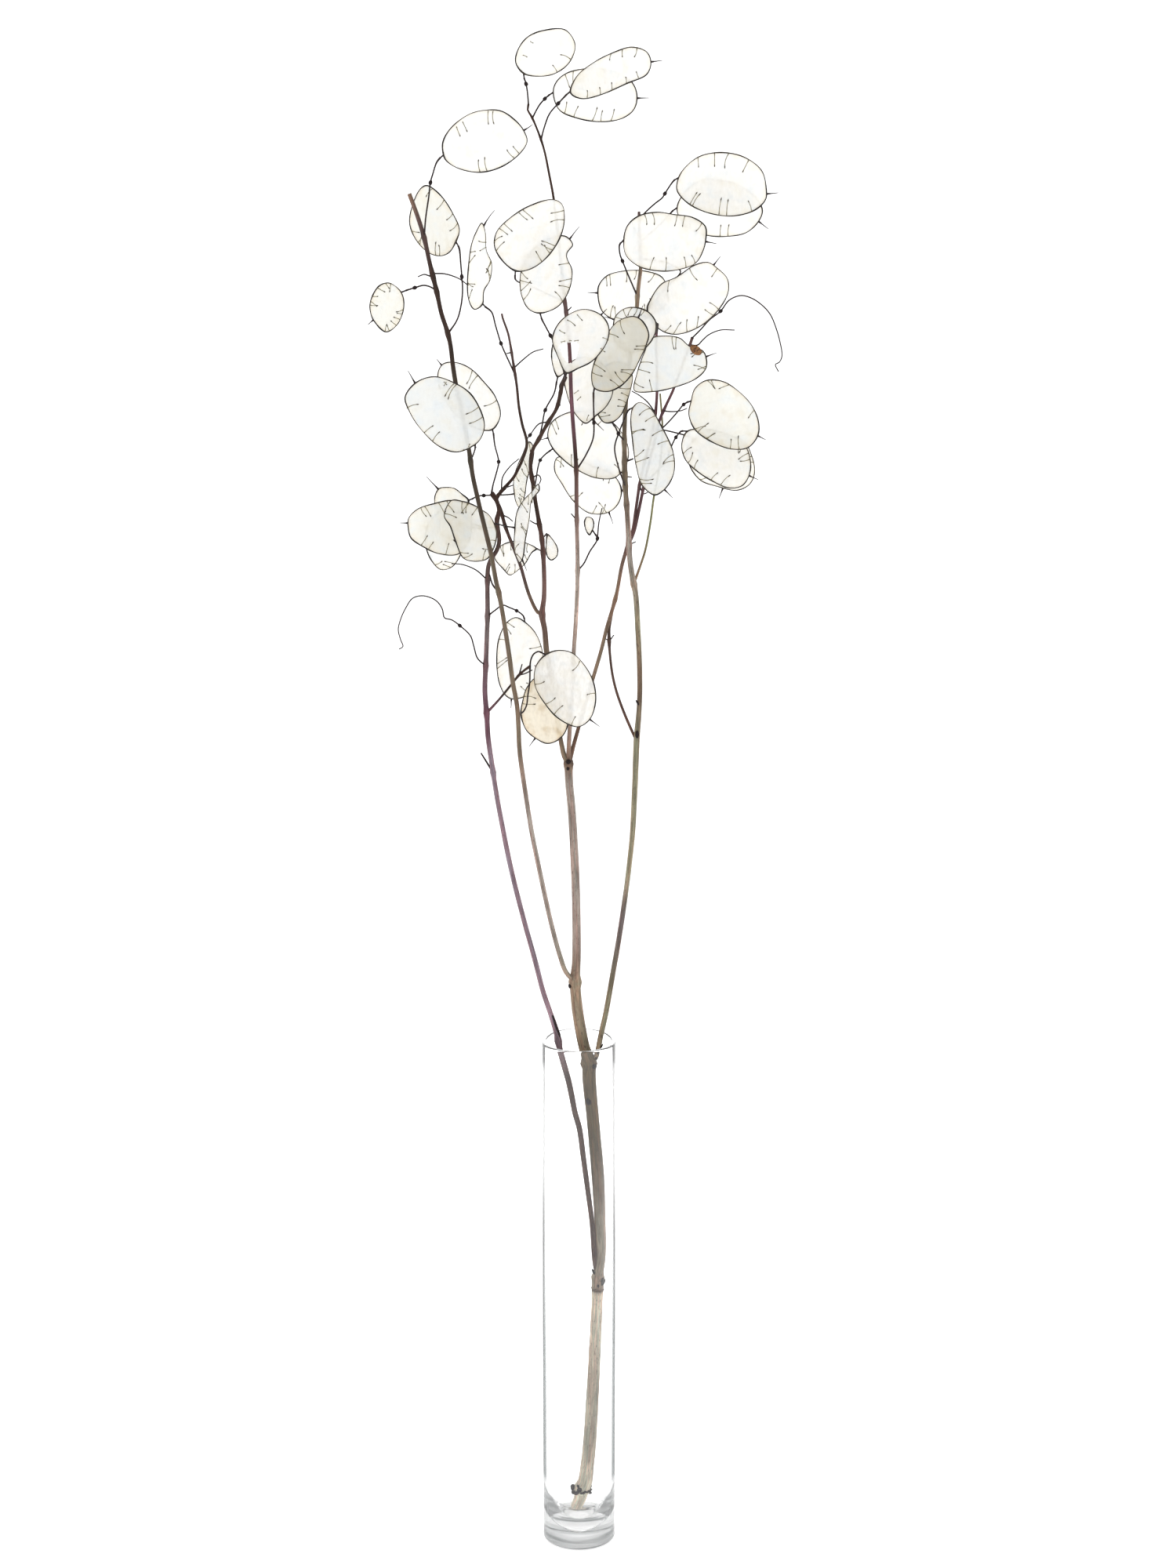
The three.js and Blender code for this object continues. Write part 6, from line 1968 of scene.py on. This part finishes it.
@dataclass
class PodModel:
    """Builds one pod: the thin septum, its rim, the seed threads, the style and the nub.

    The levels of thread, style and nub are (shares of the way, radii). The septum goes down to
    flat at its rim over flat_edge. Where threads grow by rule, each stretch of the rim bears
    one or two, pair_gap apart, that lean by up to lean and part by up to parting degrees.
    lifted is how much of a thread's radius stands over the septum, and margin is how near the
    rim the septum's grid comes, as a share of its spacing.
    """

    pod: Pod
    rim_points: int = 96
    rim_radius: float = 0.29
    rim_inset: float = 0.35
    rim_waves: tuple[Span, ...] = ((3, 0.14), (11, 0.1))
    rim_light: tuple[float, float, float] = (1.2, 0.4, 0.5)
    base_length: float = 3.0
    small_rim: float = 60.0
    thickness: float = 0.2
    grid: float = 1.25
    margin: float = 0.55
    warp_waves: tuple[float, ...] = (34.0, 27.0, 42.0)
    warp: float = 0.55
    ripple_waves: tuple[float, ...] = (6.0, 8.5, 11.0, 13.0, 17.0)
    ripple: float = 0.75
    flat_edge: float = 5.0
    tear_points: int = 44
    raggedness: float = 0.4
    sharp_edge: float = 50.0
    paper_field: float = 400.0
    thread_length: float = 7.8
    rim_per_thread: float = 14.0
    pair_gap: Span = (1.4, 6.0)
    lean: float = 25.0
    parting: float = 14.0
    single: float = 0.3
    bow: float = 0.09
    reaches: Span = (0.75, 1.1)
    lifted: float = 0.6
    stretches: tuple[Span, ...] = (
        (0.1, 0.14), (0.2, 0.25), (0.32, 0.37), (0.6, 0.65), (0.72, 0.77), (0.84, 0.88))
    thread: Route = ((0, 0.15, 0.5, 0.8, 0.92, 1), (0.28, 0.2, 0.16, 0.18, 0.34, 0.16))
    paleness: Route = ((0, 0.3, 0.7, 0.9), (0.5, 1, 1, 0))
    style: Route = ((0, 0.15, 0.35, 1), (0.6, 0.5, 0.3, 0.15))
    nub: Route = ((0, 0.6, 1), (0.5, 0.42, 0.4))
    nub_reach: float = 2.0
    sides: int = 8
    relief: float = 0.25
    grain_size: Span = (0.8, 2.5)

    def __post_init__(self) -> None:
        """Settles the plane, the rim's line and the unevenness."""
        self.plane = PodPlane(self.pod)
        ring = Curve(self.on_plane(self.pod.rim), closed=True).even(self.rim_points)
        if np.cross(ring, np.roll(ring, -1, axis=0)).sum() < 0:
            ring = np.vstack([ring[:1], ring[:0:-1]])
        self.inset = self.rim_inset + self.rim_radius
        self.outline = ring
        self.ring = ring + inward_ways(ring) * self.inset
        self.length = np.linalg.norm(ring - np.roll(ring, 1, axis=0), axis=1).sum()
        self.bends = Ripples(self.pod.name + " warp", self.warp_waves, self.warp)
        self.ripples = Ripples(
            self.pod.name + " ripple", self.ripple_waves, self.ripple * self.pod.creasing)

    def on_plane(self, marks: Route) -> Array:
        """Sheet points as flat places of the pod's plane."""
        return np.array([self.plane.seen(mark) for mark in marks])

    def height(self, places: Array) -> Array:
        """How far the septum's middle stands out of the pod's plane at each flat place."""
        fade = np.clip(rim_distance(places, self.ring) / self.flat_edge, 0, 1)
        return self.bends.at(places) + self.ripples.at(places) * fade ** 2 * (3 - 2 * fade)

    def on_sheet(self, places: Array, above: float | Array = 0.0) -> Array:
        """Flat places as points of space, on the septum's middle or so far above it."""
        return self.plane.in_space(np.column_stack([places, self.height(places) + above]))

    def septum(self, material: bpy.types.Material) -> Mesh:
        """The septum as a thin closed sheet.

        Args:
            material: its material.

        Returns:
            The mesh.
        """
        rings, grid = [self.ring], self.grid_points()
        if self.pod.tear:
            torn = self.torn_edge()
            rings.append(torn)
            grid = grid[~inside(grid, torn)]
            grid = grid[rim_distance(grid, torn) > self.grid / 2]
        edges: list[tuple[int, int]] = []
        for ring in rings:
            first, count = len(edges), len(ring)
            edges += [(first + step, first + (step + 1) % count) for step in range(count)]
        flat = [Vector(place) for place in np.concatenate([*rings, grid])]
        inside_edges, tolerance = 1, 1e-5
        found = delaunay_2d_cdt(flat, edges, [], inside_edges, tolerance)
        places = np.array([list(place) for place in found[0]])
        triangles = np.array(found[2])
        middles = places[triangles].mean(1)
        kept = inside(middles, self.ring)
        for hole in rings[1:]:
            kept &= ~inside(middles, hole)
        return self.closed_sheet(places, triangles[kept], material)

    def grid_points(self) -> Array:
        """Points evenly over the septum, clear of its edge.

        Returns:
            The points, one a row.
        """
        low, high = self.ring.min(0), self.ring.max(0)
        rows = np.arange(low[1], high[1], self.grid * math.sqrt(3) / 2)
        across = np.arange(low[0], high[0] + self.grid, self.grid)
        grid = np.array([
            (x + (index % 2) * self.grid / 2, y) for index, y in enumerate(rows) for x in across])
        grid = grid[inside(grid, self.ring)]
        return grid[rim_distance(grid, self.ring) > self.margin * self.grid]

    def torn_edge(self) -> Array:
        """The ragged edge of a torn-out piece.

        Returns:
            The edge's points in turn.
        """
        draw = random.Random(self.pod.name + " tear")
        edge = Curve(self.on_plane(self.pod.tear), closed=True).even(self.tear_points)
        rag = self.raggedness
        return edge + np.array([[draw.uniform(-rag, rag), draw.uniform(-rag, rag)] for _ in edge])

    def closed_sheet(self, flat: Array, triangles: Array, material: bpy.types.Material) -> Mesh:
        """Two faces of a flat mesh, walled along its edge.

        Args:
            flat: the flat mesh's points.
            triangles: the numbers of each triangle's points.
            material: the sheet's material.

        Returns:
            The mesh.
        """
        used = np.unique(triangles)
        renumber = np.zeros(len(flat), int)
        renumber[used] = np.arange(len(used))
        flat, triangles = flat[used], renumber[triangles]
        corners = flat[triangles]
        turn = np.cross(corners[:, 1] - corners[:, 0], corners[:, 2] - corners[:, 0])
        triangles = np.where((turn < 0)[:, None], triangles[:, ::-1], triangles)
        count = len(flat)
        sides = {(a, b) for face in triangles.tolist() for a, b in zip(face, face[1:] + face[:1])}
        border = sorted((a, b) for a, b in sides if (b, a) not in sides)
        faces = triangles.tolist() + (triangles[:, ::-1] + count).tolist()
        faces += [(b, a, a + count, b + count) for a, b in border]
        half = self.thickness / 2
        mesh = new_mesh("septum", np.vstack([self.on_sheet(flat, half), self.on_sheet(flat, -half)]), faces)
        mesh.materials.append(material)
        draw = random.Random(self.pod.name)
        shift = [draw.uniform(0, self.paper_field), draw.uniform(0, self.paper_field)]
        keep(mesh, "sheet", np.tile(np.column_stack([flat + shift, np.zeros(count)]) * MM, (2, 1)))
        keep(mesh, "edge", np.tile(rim_distance(flat, self.ring), 2) * MM)
        keep(mesh, "creasing", np.full(2 * count, self.pod.creasing))
        mesh.shade_smooth()
        mesh.set_sharp_from_angle(angle=math.radians(self.sharp_edge))
        return mesh

    def rim_path(self) -> Path:
        """The rim, a little thicker toward the stalk and uneven all round.

        Returns:
            Its path.
        """
        draw = random.Random(self.pod.name + " rim")
        steps = np.arange(self.rim_points)
        turn = 2 * math.pi * steps / self.rim_points
        uneven = 1 + sum(size * np.sin(count * turn + draw.uniform(0, 6)) for count, size in self.rim_waves)
        pale = 0.5 + 0.5 * np.sin(turn + draw.uniform(0, 6)) * np.sin(2 * turn + draw.uniform(0, 6))
        pale = pale ** 2
        from_stalk = np.minimum(steps, self.rim_points - steps) * self.length / self.rim_points
        dark_part, thins, swells = self.rim_light
        swell = swells * np.exp(-(from_stalk / self.base_length) ** 2)
        radii = self.rim_radius * uneven * (dark_part - thins * pale + swell)
        return Path(self.on_sheet(self.ring), radii, dark_to_pale(RIM_COLOURS, pale), closed=True)

    def drawn_threads(self) -> list[Array]:
        """The ends of the pod's seed threads, from the rim inward.

        Returns:
            The two ends of each thread, as flat places.
        """
        if self.pod.threads:
            return [self.on_plane(ends) for ends in self.pod.threads]
        if self.length < self.small_rim:
            return []
        draw = random.Random(self.pod.name + " threads")
        ways = inward_ways(self.outline)
        reach = min(self.thread_length, self.length / self.rim_per_thread)
        found = []
        for stretch in self.stretches:
            first = draw.uniform(*stretch) * self.rim_points
            lean = math.radians(draw.uniform(-self.lean, self.lean))
            pair_step = draw.uniform(*self.pair_gap) / self.length * self.rim_points
            for spot in (first, first + pair_step)[:1 if draw.random() < self.single else 2]:
                index = int(spot) % self.rim_points
                spread = lean + math.radians(draw.uniform(-self.parting, self.parting))
                way = turned(ways[index:index + 1], spread)[0]
                start = self.outline[index]
                found.append(np.array([start, start + way * reach * draw.uniform(*self.reaches)]))
        return found

    def thread_paths(self) -> list[Path]:
        """The seed threads, which lie on the septum and end in a little dark foot.

        Returns:
            A path for each.
        """
        draw = random.Random(self.pod.name + " bow")
        shares = np.linspace(0, 1, 11)
        radii = np.interp(shares, *self.thread)
        tints = dark_to_pale(THREAD_COLOURS, np.interp(shares, *self.paleness))
        paths = []
        for start, end in self.drawn_threads():
            start = start + unit(end - start) * self.inset
            run = end - start
            bow = np.array([-run[1], run[0]]) * draw.uniform(-self.bow, self.bow)
            flat = start + np.outer(shares, run) + np.outer(4 * shares * (1 - shares), bow)
            paths.append(Path(self.on_sheet(flat, self.thickness / 2 + self.lifted * radii), radii, tints))
        return paths

    def style_path(self) -> Path:
        """The style, a thin spike that stands out at the pod's far end.

        Returns:
            Its path.
        """
        end = self.plane.seen(self.pod.style)
        start = self.ring[np.argmin(np.linalg.norm(self.ring - end, axis=1))]
        shares = np.linspace(0, 1, 7)
        points = self.on_sheet(start + np.outer(shares, end - start))
        return Path(points, np.interp(shares, *self.style), even_colour(Bark.STALK, len(shares)))

    def nub_path(self) -> Path:
        """The nub between the rim and the stalk.

        Returns:
            Its path.
        """
        marks = ((*self.pod.rim[0][:2], self.plane.base[1]), *self.pod.stalk)
        start = self.on_sheet(self.ring[:1])[0]
        end = self.plane.beyond_base(self.pod.stalk[0], filled_in(marks, DEPTH)[1], self.nub_reach)
        shares = np.linspace(0, 1, 6)
        points = start + np.outer(shares, end - start)
        return Path(points, np.interp(shares, *self.nub), even_colour(Bark.STALK, len(shares)))

    def build(self, tubes: TubeModel, papers: dict[Paper, bpy.types.Material],
              fibre: bpy.types.Material) -> None:
        """Makes the pod and puts it in the part.

        Args:
            tubes: makes the rim, threads, style and nub.
            papers: the septum's material in each shade.
            fibre: the material of all else.
        """
        paths = [self.rim_path(), self.nub_path(), *self.thread_paths()]
        if self.pod.style:
            paths.append(self.style_path())
        width, length = self.grain_size
        fibres = tubes.run(path_mesh("pod_paths", paths), {
            "Sides": self.sides, "Relief": self.relief, "Grain Width": width * MM,
            "Grain Length": length * MM, "Seed": 1.0, "Material": fibre})
        wall = self.septum(papers[self.pod.tone])
        place(as_one("dry_" + self.pod.name, [wall, fibres]), self.pod.name, "septum")


@dataclass
class BrownSeed:
    """The brown remnant that clings to one pod, a wrinkled lens that stands clear of the rim."""

    pod: str = "pod_arch_1"
    mark: tuple[float, float] = (888.0, 446.0)
    size: tuple[float, float, float] = (7.056, 4.606, 1.2)
    turn: float = 35.0
    rim_thick: float = 1.2
    clear: float = 0.3
    waves: tuple[float, ...] = (0.9, 1.3, 1.9, 2.6)
    wave_height: float = 0.16
    rings: int = 24
    segments: int = 48

    def build(self) -> None:
        """Makes the remnant and puts it in the part."""
        plane = PodPlane(next(pod for pod in PODS if pod.name == self.pod))
        around = 2 * math.pi * np.arange(self.segments) / self.segments
        rows = []
        for polar in math.pi * np.arange(1, self.rings) / self.rings:
            out, up = math.sin(polar), np.full(self.segments, math.cos(polar))
            rows.append(np.column_stack([out * np.cos(around), out * np.sin(around), up]))
        ball, faces = between_poles(((0, 0, 1), (0, 0, -1)), rows, flipped=True)
        local = ball / 2 * self.size
        lift = Ripples(self.pod + " husk", self.waves, self.wave_height).at(local[:, :2])
        local[:, 2] += np.sign(local[:, 2]) * lift * (1 - np.hypot(ball[:, 0], ball[:, 1]) ** 4)
        flat = turned(local[:, :2], -math.radians(self.turn)) + plane.seen(self.mark)
        above = (self.rim_thick + self.size[2]) / 2 + self.clear
        mesh = new_mesh("husk", plane.in_space(np.column_stack([flat, local[:, 2] + above])), faces)
        keep(mesh, "sheet", local * MM)
        mesh.materials.append(DryHusk().material())
        mesh.shade_smooth()
        place(new_object("husk_remnant", mesh), "brown_seed", "brown_remnant")


# ---- studio -------------------------------------------------------------------------------


@dataclass
class Studio:
    """A plain white floor that glows behind the part, a soft dome of light, and the camera.

    The light is stronger behind the part than in front of it, so that the papery walls glow. The
    camera itself sees plain white.
    """

    floor_radius: float = 30.0
    floor_drop: float = 0.3
    floor_points: int = 64
    sky_seen: float = 1.0
    key: float = 0.6
    key_turn: tuple[float, float, float] = (42.0, -18.0, 0.0)
    key_spread: float = 50.0
    film: float = 36.0
    far: float = 100.0

    def build(self) -> None:
        """Makes the floor, the lights and the camera."""
        self.floor()
        self.lights()
        self.camera()

    def floor(self) -> None:
        """The floor, a wide disc just under the vase."""
        turn = 2 * math.pi * np.arange(self.floor_points) / self.floor_points
        edge = np.column_stack([np.cos(turn), np.sin(turn), np.zeros(len(turn))])
        edge = edge * self.floor_radius / MM - (0, 0, self.floor_drop)
        mesh = new_mesh("floor", edge, [tuple(range(len(turn)))])
        mesh.materials.append(WhitePaper().material())
        new_object("floor", mesh)

    def lights(self) -> None:
        """The dome, and a broad key light from the upper left."""
        world = bpy.data.worlds.new("studio")
        bpy.context.scene.world = world
        world.use_nodes = True
        tree = world.node_tree
        tree.nodes.clear()
        way = add_node(tree, "ShaderNodeTexCoord").outputs["Generated"]
        sky = add_node(tree, "ShaderNodeBackground", {
            "Color": "#ffffff", "Strength": Glow().strength(tree, way, self.sky_seen)})
        add_node(tree, "ShaderNodeOutputWorld", {"Surface": sky})
        lamp = bpy.data.lights.new("key", "SUN")
        lamp.energy = self.key
        lamp.angle = math.radians(self.key_spread)
        sun = bpy.data.objects.new("key", lamp)
        sun.rotation_euler = [math.radians(part) for part in self.key_turn]
        bpy.context.scene.collection.objects.link(sun)

    def camera(self) -> None:
        """The camera, in the eye that sees the sheet."""
        scene = bpy.context.scene
        scene.view_settings.view_transform = "Standard"
        data = bpy.data.cameras.new("camera")
        data.sensor_fit = "VERTICAL"
        data.sensor_height = self.film
        data.lens = SHEET.focal / SHEET.height * self.film
        data.clip_end = self.far
        camera = bpy.data.objects.new("camera", data)
        camera.location = [part * MM for part in SHEET.eye]
        camera.rotation_euler = (math.pi / 2 - SHEET.look_down, 0, 0)
        scene.collection.objects.link(camera)
        scene.camera = camera


def main() -> None:
    """Builds the studio and every piece."""
    logging.basicConfig(level=logging.INFO, format="%(name)s: %(message)s")
    Studio().build()
    tubes, buds = TubeModel(), BudModel()
    Vase().build()
    Stem().build(tubes, buds)
    papers = {tone: finish.material() for tone, finish in PAPERS.items()}
    fibre = DryFibre().material()
    for pod in PODS:
        PodModel(pod).build(tubes, papers, fibre)
    BrownSeed().build()


if __name__ == "__main__":
    main()
